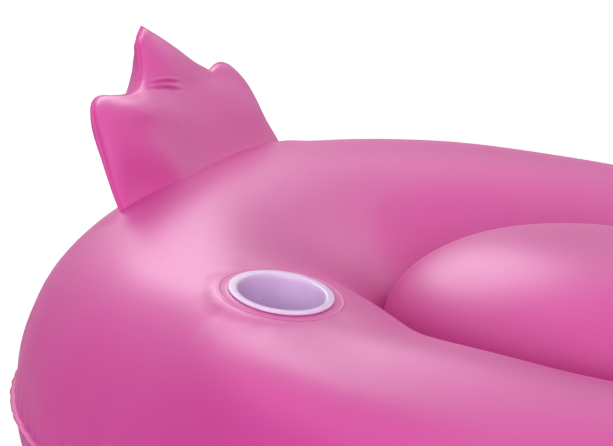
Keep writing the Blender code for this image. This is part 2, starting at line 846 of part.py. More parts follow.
def build():
    pink = new_material("pink_vinyl", PINK, 0.32)
    warm_pink = new_material("tail_pink_vinyl", WARM_PINK, 0.34)
    lavender = new_material("lavender_moulding", LAVENDER, 0.40)
    white = new_material("white_vinyl", WHITE, 0.34)
    black = new_material("black_vinyl", BLACK, 0.30)
    clear = new_material("clear_moulding", CLEAR, 0.25)
    cup = cup_frame()
    grid = deck_grid()
    hull_valve = flatten_cell(grid, deck_row(HULL_VALVE_DECK_SHARE), column_at(HULL_VALVE_TURN_DEG))
    port_pads, starboard_pads = flatten_for_pads(grid)
    deck_space = deck_cutter(grid, cup)
    add_hull(grid, cup, hull_valve, pink)
    cushion = cushion_grid()
    seat_valve = flatten_for_seat_valve(cushion)
    add_seat(cushion, seat_valve, pink)
    add_cup_holder(cup, lavender, pink)
    add_tail(deck_space, warm_pink)
    neck_valve = add_neck(deck_space, pink, white, black)
    add_valve("hull", hull_valve, clear, clear)
    add_valve("seat", seat_valve, clear, clear)
    add_valve("neck", neck_valve, clear, clear)
    add_handle("port", port_pads, pink)
    add_handle("starboard", starboard_pads, pink)


build()
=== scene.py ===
# Looks of the inflatable ride-on float: fine sheets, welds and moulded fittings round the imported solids.
# The bow and the head face -Y, the tail faces +Y, and the rider's left is +X.

import json
import math

import bmesh
import bpy
import numpy as np
from mathutils import Matrix, Vector


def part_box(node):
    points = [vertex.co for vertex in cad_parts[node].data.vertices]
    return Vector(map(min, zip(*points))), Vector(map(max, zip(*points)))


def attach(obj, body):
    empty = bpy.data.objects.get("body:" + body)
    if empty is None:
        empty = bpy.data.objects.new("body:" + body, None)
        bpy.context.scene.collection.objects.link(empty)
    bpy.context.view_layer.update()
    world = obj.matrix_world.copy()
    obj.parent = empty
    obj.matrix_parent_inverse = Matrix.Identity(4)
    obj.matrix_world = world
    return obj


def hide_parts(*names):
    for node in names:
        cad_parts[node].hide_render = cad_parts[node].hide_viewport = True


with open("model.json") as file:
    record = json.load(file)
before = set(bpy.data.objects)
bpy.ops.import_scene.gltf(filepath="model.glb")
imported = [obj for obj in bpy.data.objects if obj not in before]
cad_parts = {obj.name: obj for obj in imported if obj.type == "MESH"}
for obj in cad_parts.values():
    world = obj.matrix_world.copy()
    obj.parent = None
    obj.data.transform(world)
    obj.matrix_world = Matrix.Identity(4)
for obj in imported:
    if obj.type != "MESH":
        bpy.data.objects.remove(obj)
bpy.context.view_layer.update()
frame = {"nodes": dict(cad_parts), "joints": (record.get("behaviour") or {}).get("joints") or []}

film = {
    "gap": 0.0003,          # between welded sheets, as in the solids
    "thickness": 0.0005,
    "flange": 0.006,        # width of the welded edge
    "lip": 0.00005,         # from the seam's plane to the rim of each sheet, where the two meet
}
seamOffset = film["thickness"] + film["gap"] / 2


# Shader nodes

class Value:
    # a shader socket that takes part in sums and products

    def __init__(self, nodes, socket):
        self.nodes = nodes
        self.socket = socket

    def maths(self, operation, *others):
        node = self.nodes.node("ShaderNodeMath", {"operation": operation}, *others)
        return Value(self.nodes, node.outputs[0])

    def __add__(self, other):
        return self.maths("ADD", self, other)

    def __radd__(self, other):
        return self.maths("ADD", other, self)

    def __sub__(self, other):
        return self.maths("SUBTRACT", self, other)

    def __rsub__(self, other):
        return self.maths("SUBTRACT", other, self)

    def __mul__(self, other):
        return self.maths("MULTIPLY", self, other)

    def __rmul__(self, other):
        return self.maths("MULTIPLY", other, self)

    def __truediv__(self, other):
        return self.maths("DIVIDE", self, other)

    def __pow__(self, other):
        return self.maths("POWER", self, other)

    def above(self, edge, softness):
        ends = (self, edge - softness, edge + softness, 0.0, 1.0)
        node = self.nodes.node("ShaderNodeMapRange", {"interpolation_type": "SMOOTHSTEP"}, *ends)
        return Value(self.nodes, node.outputs[0])


class Nodes:
    # the node tree of a material or of the world

    def __init__(self, owner):
        owner.use_nodes = True
        self.tree = owner.node_tree

    def node(self, kind, settings=None, *values, **named):
        made = self.tree.nodes.new(kind)
        for key, value in (settings or {}).items():
            setattr(made, key, value)
        for key, value in [*enumerate(values), *named.items()]:
            self.feed(made.inputs[key], value)
        return made

    def feed(self, socket, value):
        if isinstance(value, Value):
            value = value.socket
        if isinstance(value, bpy.types.NodeSocket):
            self.tree.links.new(value, socket)
        elif socket.type == "RGBA" and len(value) == 3:
            socket.default_value = (*value, 1.0)
        else:
            socket.default_value = value


class Finish(Nodes):
    # one material

    def __init__(self, name):
        self.material = bpy.data.materials.new(name)
        super().__init__(self.material)
        self.shader = self.tree.nodes["Principled BSDF"]
        self.place = self.node("ShaderNodeTexCoord").outputs["Object"]

    def noise(self, scale, detail):
        node = self.node("ShaderNodeTexNoise", Vector=self.place, Scale=scale, Detail=detail)
        return Value(self, node.outputs["Fac"])

    def along(self, axis):
        parts = self.node("ShaderNodeSeparateXYZ", None, self.place)
        return Value(self, parts.outputs[axis])

    def mix(self, share, first, second):
        node = self.node("ShaderNodeMix", {"data_type": "RGBA"})
        self.feed(node.inputs["Factor"], share)
        self.feed(node.inputs[6], first)
        self.feed(node.inputs[7], second)
        return node.outputs[2]

    def bump(self, height, distance, strength, below=None):
        node = self.node("ShaderNodeBump", None, Height=height, Distance=distance, Strength=strength)
        if below is not None:
            self.feed(node.inputs["Normal"], below)
        return node.outputs[0]

    def use(self, **sockets):
        for key, value in sockets.items():
            self.feed(self.shader.inputs[key.replace("_", " ")], value)
        return self.material


vinyl = {
    # a colour, and the shade that it drifts to
    "pink": ((0.630, 0.046, 0.312), (0.610, 0.038, 0.292)),
    "tailPink": ((0.635, 0.048, 0.310), (0.610, 0.038, 0.292)),
    "white": ((0.86, 0.84, 0.85), (0.80, 0.77, 0.78)),
    "black": ((0.012, 0.011, 0.013), (0.02, 0.018, 0.02)),
    "cloudScale": 5.0,        # slow changes of tint over the sheet, per metre
    "cloudEdge": 0.52,
    "cloudSoftness": 0.22,
    "roughness": 0.44,
    "roughnessScale": 11.0,
    "roughnessChange": 0.07,
    "slackScale": 34.0,       # faint slackness of the film
    "slackDepth": 0.00035,
    "slackStrength": 0.35,
    "grainScale": 900.0,      # fine calendered grain
    "grainDepth": 0.00002,
    "grainStrength": 0.5,
    "ior": 1.46,
    "gloss": (0.54, 1.0, 0.97),
}


def filmFinish(name, tone):
    colour, deep = vinyl[tone]
    finish = Finish(name)
    cloud = finish.noise(vinyl["cloudScale"], 3.0)
    tint = finish.mix(cloud.above(vinyl["cloudEdge"], vinyl["cloudSoftness"]), deep, colour)
    slack = finish.noise(vinyl["slackScale"], 2.0)
    grain = finish.noise(vinyl["grainScale"], 1.0)
    normal = finish.bump(slack, vinyl["slackDepth"], vinyl["slackStrength"])
    normal = finish.bump(grain, vinyl["grainDepth"], vinyl["grainStrength"], normal)
    rough = vinyl["roughness"] + (finish.noise(vinyl["roughnessScale"], 4.0) - 0.5) * vinyl["roughnessChange"]
    finish.use(Base_Color=tint, Roughness=rough, Normal=normal)
    finish.use(IOR=vinyl["ior"], Specular_Tint=vinyl["gloss"])
    return finish, tint


def plainFilm(tone, slot):
    return {"material": filmFinish(f"{tone}Vinyl", tone)[0].material, "slot": slot}


eye = {
    "station": 9.35,          # where along the neck and head it sits
    "rise": 0.008,            # above the head's middle line
    "height": 0.015,
    "length": 0.0115,
    "edge": 0.03,
    "ringShare": 1.35,
    "glintRadius": 0.0038,
    "glintEdge": 0.08,
    "glintForward": 0.25,     # as a share of the eye's length
    "glintUp": 0.4,           # as a share of its height
    "clearance": 0.05,        # the print ends this far below the eye
}


def printedFilm(centre):
    # the film of the neck, with the eye printed on both sides of the head
    finish, tint = filmFinish("headPinkVinyl", "pink")
    y, z = finish.along("Y"), finish.along("Z")
    inHead = z.above(centre.z - eye["clearance"], 0.001)
    length, height, wider, glint = eye["length"], eye["height"], eye["ringShare"], eye["glintRadius"]
    patches = (
        (0, 0, length * wider, height * wider, eye["edge"], "white"),
        (0, 0, length, height, eye["edge"], "black"),
        (-length * eye["glintForward"], height * eye["glintUp"], glint, glint, eye["glintEdge"], "white"),
    )
    for offY, offZ, halfY, halfZ, softness, tone in patches:
        away = ((y - (centre.y + offY)) / halfY) ** 2.0 + ((z - (centre.z + offZ)) / halfZ) ** 2.0
        tint = finish.mix((1 - away.above(1.0, softness)) * inHead, tint, vinyl[tone][0])
    return {"material": finish.use(Base_Color=tint), "slot": "pink_vinyl"}


moulding = {
    # colour, shade, roughness, and how much light goes through it
    "lavender": ((0.80, 0.60, 0.86), (0.74, 0.52, 0.82), 0.35, 0.15),
    "clear": ((0.78, 0.72, 0.80), (0.70, 0.62, 0.73), 0.28, 0.2),
    "pink": (*vinyl["pink"], 0.42, 0.0),
    "cloudScale": 22.0,
    "cloudSoftness": 0.2,
    "roughnessChange": 0.1,
    "grainScale": 420.0,
    "grainDepth": 0.00006,
    "grainStrength": 0.5,
    "ior": 1.5,
    "scatter": (0.004, 0.003, 0.004),
}


def moulded(kind):
    # moulded vinyl with a faint grain and a slow change of tint
    colour, shade, roughness, glow = moulding[kind]
    finish = Finish(f"{kind}Moulding")
    cloud = finish.noise(moulding["cloudScale"], 3.0)
    grain = finish.noise(moulding["grainScale"], 2.0)
    tint = finish.mix(cloud.above(0.5, moulding["cloudSoftness"]), shade, colour)
    normal = finish.bump(grain, moulding["grainDepth"], moulding["grainStrength"])
    rough = roughness + (cloud - 0.5) * moulding["roughnessChange"]
    finish.use(Base_Color=tint, Roughness=rough, Normal=normal, IOR=moulding["ior"])
    finish.use(Subsurface_Weight=glow, Subsurface_Radius=moulding["scatter"])
    return {"material": finish.material, "slot": f"{kind}_moulding"}


# Mesh helpers

def unit(vectors):
    length = np.linalg.norm(vectors, axis=-1, keepdims=True)
    return vectors / np.maximum(length, 1e-12)


def smoothstep(value):
    value = np.clip(value, 0.0, 1.0)
    return value * value * (3 - 2 * value)


def powerOf(value, exponent):
    return np.sign(value) * np.abs(value) ** exponent


def hump(off, width, power=2):
    return np.exp(-((off / width) ** power))


def wrapped(off, girth):
    # the shorter way round a closed line
    return (off + girth / 2) % girth - girth / 2


def between(t, a, b, slopeA, slopeB):
    # a cubic curve from a to b that leaves and arrives along the slopes
    return (
        (2 * t**3 - 3 * t**2 + 1) * a + (t**3 - 2 * t**2 + t) * slopeA
        + (3 * t**2 - 2 * t**3) * b + (t**3 - t**2) * slopeB
    )


def swelling(plan, swells):
    # each swell is where (2), reach along and beside (2), turn in degrees, rise
    total = np.zeros(plan.shape[:2])
    for x, y, reachAlong, reachBeside, degrees, rise in swells:
        turn = math.radians(degrees)
        offX, offY = plan[..., 0] - x, plan[..., 1] - y
        along = (offX * math.cos(turn) + offY * math.sin(turn)) / reachAlong
        beside = (offY * math.cos(turn) - offX * math.sin(turn)) / reachBeside
        total += rise * np.exp(-(along ** 2) - beside ** 2)
    return total


def withHeight(plan, height):
    return np.concatenate([plan, height[..., None]], -1)


def travelAlong(points):
    # the way gone along a line of points, or down each column of a grid
    steps = np.linalg.norm(np.diff(points, axis=0), axis=-1)
    return np.concatenate([np.zeros_like(steps[:1]), np.cumsum(steps, axis=0)])


def moved(grid, direction, by):
    return grid + direction * by[..., None]


def resampled(points, travel, wanted):
    return np.stack([np.interp(wanted, travel, points[:, k]) for k in (0, 1)], -1)


def linked(name, data):
    made = bpy.data.objects.new(name, data)
    bpy.context.scene.collection.objects.link(made)
    return made


def gridNormals(grid, closed=True):
    # out of the sheet, from the columns' direction and the rows'
    if closed:
        around = np.roll(grid, -1, 1) - np.roll(grid, 1, 1)
    else:
        around = np.gradient(grid, axis=1)
    return unit(np.cross(around, np.gradient(grid, axis=0)))


def sheetObject(name, grid, look, body="float", closed=True, flip=False, pole=None):
    # a sheet through rows of points; a pole closes the last row with a fan
    rows, columns = grid.shape[:2]
    points = grid.reshape(-1, 3)
    number = np.arange(rows * columns).reshape(rows, columns)
    after = np.roll(number, -1, 1)
    spans = columns if closed else columns - 1
    corners = [number[:-1], after[:-1], after[1:], number[1:]]
    faces = np.stack(corners, -1)[:, :spans].reshape(-1, 4).tolist()
    if pole is not None:
        points = np.vstack([points, pole])
        tip = len(points) - 1
        faces += [[number[-1, c], after[-1, c], tip] for c in range(spans)]
    if flip:
        faces = [face[::-1] for face in faces]
    mesh = bpy.data.meshes.new(name)
    mesh.from_pydata(points.tolist(), [], faces)
    mesh.validate()
    mesh.shade_smooth()
    mesh.materials.append(look["material"])
    piece = linked(name, mesh)
    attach(piece, body)
    return piece


def softened(points, radius, steps=5):
    # an open outline whose inner corners are rounded
    points = [np.array(point, float) for point in points]
    made = [points[0]]
    for before, corner, after in zip(points, points[1:], points[2:]):
        arms = [before - corner, after - corner]
        lengths = [np.linalg.norm(arm) for arm in arms]
        reach = min(radius, 0.45 * lengths[0], 0.45 * lengths[1])
        start, end = (corner + arm / length * reach for arm, length in zip(arms, lengths))
        for step in range(steps + 1):
            t = step / steps
            made.append((1 - t) ** 2 * start + 2 * t * (1 - t) * corner + t * t * end)
    return made + [points[-1]]


def turned(name, profile, place, look, body="float", steps=96, loop=False):
    # a profile of radius and height turned about Z of a place; it runs down its outer side
    profile = np.array(profile)
    if loop:
        profile = np.vstack([profile, profile[:1]])
    turns = np.arange(steps) * math.tau / steps
    radius, height = profile[:, :1], profile[:, 1:]
    grid = np.stack([radius * np.cos(turns), radius * np.sin(turns), height + 0 * turns], -1)
    return sheetObject(name, placed(grid, place), look, body)


def placed(points, place):
    turn = np.array(place.to_3x3())
    return points @ turn.T + np.array(place.translation)


def within(points, place):
    # the points as a place sees them
    return (points - np.array(place.translation)) @ np.array(place.to_3x3())


def polar(grid, place):
    # how far each point is from the axis of a place, how high, and at what turn
    local = within(grid, place)
    return np.hypot(local[..., 0], local[..., 1]), local[..., 2], np.arctan2(local[..., 1], local[..., 0])


def placeAt(origin, across, out):
    # Z is out, and X is as near across as a right angle allows
    z = Vector(out).normalized()
    y = z.cross(Vector(across)).normalized()
    rotation = Matrix((y.cross(z), y, z)).transposed()
    return Matrix.Translation(Vector(origin)) @ rotation.to_4x4()


def raised(place, height):
    return place @ Matrix.Translation((0, 0, height))


# Hull

deckLow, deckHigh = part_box("hull_top_sheet")
hull = {
    "halfWidth": deckHigh.x - film["flange"],
    "halfLength": deckHigh.y - film["flange"],
    "seam": deckLow.z - film["gap"] / 2,
    "deckRise": 0.228,
    "floorSag": 0.010,        # how far the blown underside would hang below the floor that it rests on
    "roundness": 0.8,
    "rearSwell": 0.03,
    "valleyDegrees": 141,     # how far round its section the ring goes before it meets the seat
    "valleyTurnDegrees": 7,   # more of that at the tail, less at the neck
    "columns": 720,
    "deckRows": 84,
    "rowCrowding": 1.12,      # rows lie closer together at the weld
    "bellyRows": 40,
    "holeReach": 0.018,       # how far out a hole's ragged edge is drawn onto its circle
    "holeDepth": 0.03,        # what lies further in or out isn't cut
    "slackDepth": 0.0011,     # slow dents of the blown sheet, and their size
    "slackSize": 0.16,
    "slackWaves": 14,
    "swellStart": 0.08,       # the deck's local swells begin over this height above the outer weld
    "seed": 7,
}
seat = {
    "halfWidth": 0.154,
    "halfLength": 0.250,
    "centreY": 0.046,
    "rise": 0.117,
    "bellyDrop": 0.045,
    "fullness": 2.3,
    "columns": 360,
    "rows": 56,
    "bellyRows": 20,
    "innermost": 0.02,        # the last row, as a share of the way out from the middle
    "pleatCount": 46,         # gathers at the weld round the cushion
    "pleatDepth": 0.0011,
    "pleatWidth": (0.02, 0.045),
    "pleatReach": (0.010, 0.032),
    "slackDepth": 0.0009,
}
puckers = {
    "count": 104,
    "depth": (0.0008, 0.0032),
    "width": (0.0050, 0.0105),
    "reach": (0.030, 0.115),
    "lean": 0.25,
    "flangeWave": 0.0022,     # in and out
    "flangeCurl": 0.0030,     # up and down
    "curlLength": 0.031,
    "driftLength": 0.21,
    "drift": 1.7,
}
# how far the sheet is flat round a fitting, and how far it takes to swell again
flats = {"hull": (0.021, 0.030), "seat": (0.021, 0.028), "neck": (0.019, 0.026)}


def outlineAt(turn, grow=0.0):
    across = powerOf(np.cos(turn), hull["roundness"]) * (1 + hull["rearSwell"] * np.sin(turn))
    along = powerOf(np.sin(turn), hull["roundness"])
    return np.stack([(hull["halfWidth"] + grow) * across, (hull["halfLength"] + grow) * along], -1)


def seatOval(turn, inset=0.0):
    x = (seat["halfWidth"] - inset) * np.cos(turn)
    y = seat["centreY"] + (seat["halfLength"] - inset) * np.sin(turn)
    return np.stack([x, y], -1)


def valleySwing(turn):
    return np.radians(hull["valleyDegrees"] + hull["valleyTurnDegrees"] * np.sin(turn))


def ringAt(turn, share, lift):
    # share 0 is the outer weld, share 1 the seam at the seat
    swing = share * valleySwing(turn)
    across = (1 - np.cos(swing)) / (1 - np.cos(valleySwing(turn)))
    plan = outlineAt(turn) * (1 - across)[..., None] + seatOval(turn) * across[..., None]
    return withHeight(plan, hull["seam"] + lift * np.sin(swing))


def deckAt(turn, share):
    point = ringAt(turn, share, hull["deckRise"])
    point[..., 2] += seamOffset
    return point


def bellyAt(turn, share):
    point = ringAt(turn, share, -(hull["seam"] + hull["floorSag"]))
    point[..., 2] = np.maximum(point[..., 2] - seamOffset, 0.0)
    return point


def evenTurns(count):
    # turns that space the columns evenly along the outer weld
    fine = np.linspace(0, math.tau, 40001)
    travel = travelAlong(outlineAt(fine))
    wanted = np.arange(count) / count * travel[-1]
    return np.interp(wanted, travel, fine), wanted, travel[-1]


def bendAt(turn):
    # how sharply the outer weld turns: 1 at the corners, 0 on the straight sides
    step = 0.03
    ahead, behind = outlineAt(turn + step) - outlineAt(turn), outlineAt(turn) - outlineAt(turn - step)
    a, b = unit(ahead), unit(behind)
    bend = np.arccos(np.clip((a * b).sum(-1), -1, 1)) / np.linalg.norm(ahead + behind, axis=-1)
    return smoothstep(bend / 2.0)


turns, travelled, girth = evenTurns(hull["columns"])
random = np.random.default_rng(hull["seed"])


def part(share, ends):
    return np.interp(share, (0, 1), ends)


def makePuckers():
    # creases that run up and down from the outer weld, where the flat sheets are gathered
    gaps = random.uniform(0.6, 1.4, puckers["count"])
    middles = np.cumsum(gaps) / gaps.sum() * girth
    sizes = random.uniform(0, 1, puckers["count"])
    depths, reaches = part(sizes, puckers["depth"]), part(sizes, puckers["reach"])
    lean = puckers["lean"]
    return [
        (middle, depth, reach, part(random.uniform(), puckers["width"]), random.uniform(-lean, lean))
        for middle, depth, reach in zip(middles, depths, reaches)
    ]


creases = makePuckers()


def creaseDepth(climb):
    # climb is the way up the sheet from the weld, one row of values per row of points
    total = np.zeros_like(climb)
    strength = 0.35 + 0.65 * bendAt(turns)
    for middle, depth, reach, narrow, lean in creases:
        off = wrapped(travelled[None, :] - middle - lean * climb, girth)
        width = narrow * (1 + 3.0 * climb / reach)
        total += depth * hump(climb, reach, 1.5) * (0.45 * hump(off, 2.2 * width) - hump(off, width))
    return total * strength


def slowDents(grid, seedShift, depth):
    # smooth, seeded unevenness in three directions
    dents = np.random.default_rng(hull["seed"] + seedShift)
    total = np.zeros(grid.shape[:2])
    for _ in range(hull["slackWaves"]):
        direction = dents.normal(size=3)
        direction /= np.linalg.norm(direction)
        wave = math.tau / (hull["slackSize"] * dents.uniform(0.7, 2.2))
        total += np.sin(grid @ direction * wave + dents.uniform(0, math.tau))
    return total * depth / 3.0


def pullFlat(grid, place, kind):
    # draws the sheet into the plane of a place, fading out past the radius
    radius, fade = flats[kind]
    away, height, _ = polar(grid, place)
    weight = (1 - smoothstep((away - radius) / fade)) * (np.abs(height) < radius + fade)
    return moved(grid, np.array(place.col[2].xyz), -height * weight)


cup = {
    "turnDegrees": 153.5,     # where round the ring, and how far across it
    "share": 0.602,
    "leanDegrees": 5.2,
    "sideLeanDegrees": 3.9,
    "sink": 0.004,
    "flatRadius": 0.063,      # the sheet is flat out to the weld ring
    "shoulder": 0.014,        # how softly it leaves the ring
    "reach": 0.220,           # how far round the ring the blown sheet gives way
    "weldMargin": 0.16,       # where the sheet is held again, towards the outer weld and the seat
    "seatMargin": 0.08,
    "nearby": 0.05,           # points further above or below belong to another part of the ring
    "rimBand": 0.010,
    "rimRadius": 0.0538,
    "wellRadius": 0.0455,
    "footRadius": 0.0400,
    "depth": 0.085,
    "columns": 160,
    "wall": 0.0015,
    "rim": 0.0025,
    "weldRadius": 0.0648,
    "holeRadius": 0.0470,
    "puckerCount": 11,
    "puckerDepth": 0.0009,
    "puckerWidth": (0.07, 0.15),
    "puckerReach": 0.05,
}


def cupPlace():
    centre = deckAt(np.array(math.radians(cup["turnDegrees"])), np.array(cup["share"]))
    across = math.tan(math.radians(cup["sideLeanDegrees"]))
    along = -math.tan(math.radians(cup["leanDegrees"]))
    out = Vector((across, along, 1)).normalized()
    return placeAt(Vector(centre) - out * cup["sink"], (1, 0, 0), out)


cupSpot = cupPlace()


def cupPuckers(away, height, angle):
    # creases that fan out from the stiff rim into the blown deck
    start, end = cup["weldRadius"], cup["weldRadius"] + cup["puckerReach"]
    along = (away - start) / (end - start)
    near = smoothstep(along * 4) * (1 - smoothstep((along - 0.25) / 0.75)) * (np.abs(height) < end)
    folds = np.random.default_rng(hull["seed"] + 40)
    total = np.zeros_like(angle)
    for index in range(cup["puckerCount"]):
        middle = math.tau * (index + folds.uniform(-0.3, 0.3)) / cup["puckerCount"]
        width = folds.uniform(*cup["puckerWidth"])
        total -= folds.uniform(0.3, 1.0) * hump(wrapped(angle - middle, math.tau), width)
    return cup["puckerDepth"] * total * near


def ringWaves(turn):
    return np.stack([np.cos(k * turn) for k in range(4)] + [np.sin(k * turn) for k in (1, 2, 3)], -1)


def settling(climb, away, height, angle):
    # seats the sheet on the tilted ring, and lets what that moves die out in the deck around it
    hold = smoothstep(climb / cup["weldMargin"]) * smoothstep((climb[-1:] - climb) / cup["seatMargin"])
    past = away - cup["flatRadius"]
    rim = (np.abs(height) < cup["nearby"]) & (np.abs(past) < cup["rimBand"])
    share = np.linalg.lstsq(ringWaves(angle[rim]), height[rim], rcond=None)[0]
    atRim = ringWaves(angle) @ share
    leaving = smoothstep(past / cup["shoulder"])
    fading = 1 - smoothstep(past / cup["reach"])
    return hold * (height * (1 - leaving) + atRim * leaving * fading)


# the blown deck in front of the cup holder and on both sides of it, seen from above
deckSwells = [
    (-0.376, 0.131, 0.035, 0.180, 0, 0.0289),
    (-0.357, 0.209, 0.044, 0.086, 0, 0.0113),
    (-0.185, 0.210, 0.055, 0.075, 0, 0.010),
]


def faceNormalOf(node):
    # the direction of a node's largest flat face, and that face's middle
    mesh = frame["nodes"][node].data
    sums = {}
    for face in mesh.polygons:
        key = tuple(round(value, 2) for value in face.normal)
        area, moment, normal = sums.get(key, (0.0, Vector(), Vector()))
        sums[key] = (area + face.area, moment + face.center * face.area, normal + face.normal * face.area)
    area, moment, normal = max(sums.values(), key=lambda entry: entry[0])
    return moment / area, normal.normalized()


def jointOf(child):
    return next(joint for joint in frame["joints"] if joint["child"] == child)


valve = {
    "flangeRadius": 0.0185,
    "flangeThickness": 0.0014,
    "wellRadius": 0.0120,
    "wellWall": 0.0012,
    "wellDepth": 0.018,
    "holeRadius": 0.0125,
    "stemLength": 0.024,
    "boreRadius": 0.0055,
    "capThickness": 0.003,
    "flapOverlap": 0.0018,
    "flapThickness": 0.0008,
    "plugLength": 0.009,
    "plugTaper": 0.0006,
    "tabLength": 0.008,
    "tabWidth": 0.006,
    "tabThickness": 0.0012,
}


def valvePlace(name):
    # the frame of a valve on its sheet, from the joints of its stem and its flap
    out = Vector(jointOf(f"{name}_stem")["axis"])
    hinge = jointOf(f"{name}_flap")
    across = Vector(hinge["axis"]).cross(out)
    radius = valve["boreRadius"] + valve["flapOverlap"]
    rise = valve["stemLength"] - valve["flangeThickness"] + valve["capThickness"]
    origin = Vector(hinge["pos_m"]) + across * radius + out * rise
    return placeAt(origin, across, out)


valvePlaces = {name: valvePlace(name) for name in ("hull", "seat", "neck")}
padPlaces = {}
for side in ("port", "starboard"):
    for end in ("front", "rear"):
        middle, down = faceNormalOf(f"handle_{side}_{end}_pad")
        padPlaces[side, end] = raised(placeAt(middle, (0, 1, 0), -down), -film["gap"])


def deckHole(piece, place, radius):
    # cuts a round hole in a fine sheet and draws its edge onto the circle
    bm = bmesh.new()
    bm.from_mesh(piece.data)
    inverse = place.inverted()

    def radial(point):
        local = inverse @ point
        return math.hypot(local.x, local.y) if abs(local.z) < hull["holeDepth"] else 1.0

    inside = [vertex for vertex in bm.verts if radial(vertex.co) < radius]
    bmesh.ops.delete(bm, geom=inside, context="VERTS")
    for edge in bm.edges:
        if edge.is_boundary:
            for vertex in edge.verts:
                if radial(vertex.co) < radius + hull["holeReach"]:
                    local = inverse @ vertex.co
                    scale = radius / math.hypot(local.x, local.y)
                    vertex.co = place @ Vector((local.x * scale, local.y * scale, local.z))
    bm.to_mesh(piece.data)
    bm.free()


def withFlange(grid):
    # adds the free edge of the weld, which waves where the sheets are gathered
    curl = creaseDepth(np.zeros((1, len(turns))))[0] / puckers["depth"][1]
    drift = puckers["drift"] * np.sin(travelled / puckers["driftLength"])
    wave = np.sin(travelled / puckers["curlLength"] + drift)
    plan = outlineAt(turns, film["flange"] + puckers["flangeWave"] * curl)
    height = grid[0, :, 2].mean() + puckers["flangeCurl"] * wave * np.abs(curl)
    edge = withHeight(plan, height)[None]
    return np.concatenate([edge, (grid[:1] + edge) / 2, grid])


tail = {
    "halfWidth": 0.1445,
    "height": 0.1765,
    "leanDegrees": 30,
    "share": 0.46,            # where on the ring's section it stands
    "frontBulge": 0.036,
    "backBulge": 0.054,
    "fullness": 0.42,
    "waist": 0.45,            # how much of the bulge is left at the foot
    "hub": 0.20,              # height of the point that the columns meet at, as a share
    "flange": 0.0045,
    "columns": 420,
    "rows": 96,
    "solverSteps": 900,
    "footRise": 0.006,        # the deck is drawn up where the fan is welded on
    "footReach": 0.028,
    "footLength": 0.12,
    "footAbove": 0.1,         # over this height above the outer weld
}


def tailPlace():
    foot = deckAt(np.array(math.pi / 2), np.array(tail["share"]))
    lean = math.radians(tail["leanDegrees"])
    return placeAt(foot, (1, 0, 0), (0, -math.cos(lean), math.sin(lean)))


tailSpot = tailPlace()


def footRise(grid):
    local = within(grid, tailSpot)
    beyond = (np.abs(local[..., 0]) - tail["halfWidth"]) / tail["footReach"]
    rear = tailSpot.translation.y - tail["footLength"]
    onTop = (grid[..., 2] > hull["seam"] + tail["footAbove"]) & (grid[..., 1] > rear)
    return tail["footRise"] * hump(local[..., 2], tail["footReach"]) * (1 - smoothstep(beyond)) * onTop


def makeHull(look):
    shares = np.linspace(0, 1, hull["deckRows"] + 1) ** hull["rowCrowding"]
    grid = deckAt(*np.meshgrid(turns, shares))
    normals = gridNormals(grid)
    climb = travelAlong(grid)
    grid = moved(grid, normals, creaseDepth(climb))
    quiet = smoothstep(climb / 0.05) * smoothstep((climb[-1:] - climb) / 0.06)
    grid = moved(grid, normals, slowDents(grid, 1, hull["slackDepth"]) * quiet)
    above = smoothstep((grid[..., 2] - hull["seam"]) / hull["swellStart"])
    grid = moved(grid, normals, swelling(grid, deckSwells) * above)
    grid[..., 2] += footRise(grid)
    around = polar(grid, cupSpot)
    grid = moved(grid, np.array(cupSpot.col[2].xyz), -settling(climb, *around))
    grid = moved(grid, normals, cupPuckers(*around))
    for place in [valvePlaces["hull"], *padPlaces.values()]:
        grid = pullFlat(grid, place, "hull")
    grid = withFlange(grid)
    lip = grid[:1] - np.array([0, 0, seamOffset])
    deck = sheetObject("hullTopSheet", np.concatenate([lip, grid]), look)
    deckHole(deck, cupSpot, cup["holeRadius"])
    deckHole(deck, valvePlaces["hull"], valve["holeRadius"])
    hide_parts("hull_top_sheet")


def makeBelly(look):
    # the sheet comes down to the floor, lies flat on it and goes up again to the seat
    swing = math.radians(hull["valleyDegrees"])
    down = math.asin(hull["seam"] / (hull["seam"] + hull["floorSag"])) / swing
    up = math.pi / swing - down
    rows = hull["bellyRows"]
    stretches = (0, down, rows), (down, up, 6), (up, 1, rows // 2)
    shares = np.concatenate([[0], *(np.linspace(*stretch)[1:] for stretch in stretches)])
    grid = bellyAt(*np.meshgrid(turns, shares))
    normals = -gridNormals(grid)
    climb = travelAlong(grid)
    lifted = smoothstep(grid[..., 2] / 0.02)
    grid = moved(grid, normals, creaseDepth(climb) * lifted)
    grid[..., 2] = np.maximum(grid[..., 2], 0.0)
    belly = sheetObject("hullBottomSheet", withFlange(grid), look, flip=True)
    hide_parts("hull_bottom_sheet")


# Seat

def seatGrid(turn, shares, at, rise):
    # rows that go in from the seam round the seat to its middle, and the rise of each
    ends = np.array([math.pi / 2, -math.pi / 2])
    edge, middle = at(turn, np.ones_like(turn))[..., 2], at(ends, np.ones(2))[..., 2].mean()
    inner = np.array([0, seat["centreY"]]) * (1 - shares)[:, None, None]
    plan = inner + seatOval(turn, film["gap"])[None] * shares[:, None, None]
    return withHeight(plan, middle + (edge[None, :] - middle) * shares[:, None] + rise[:, None])


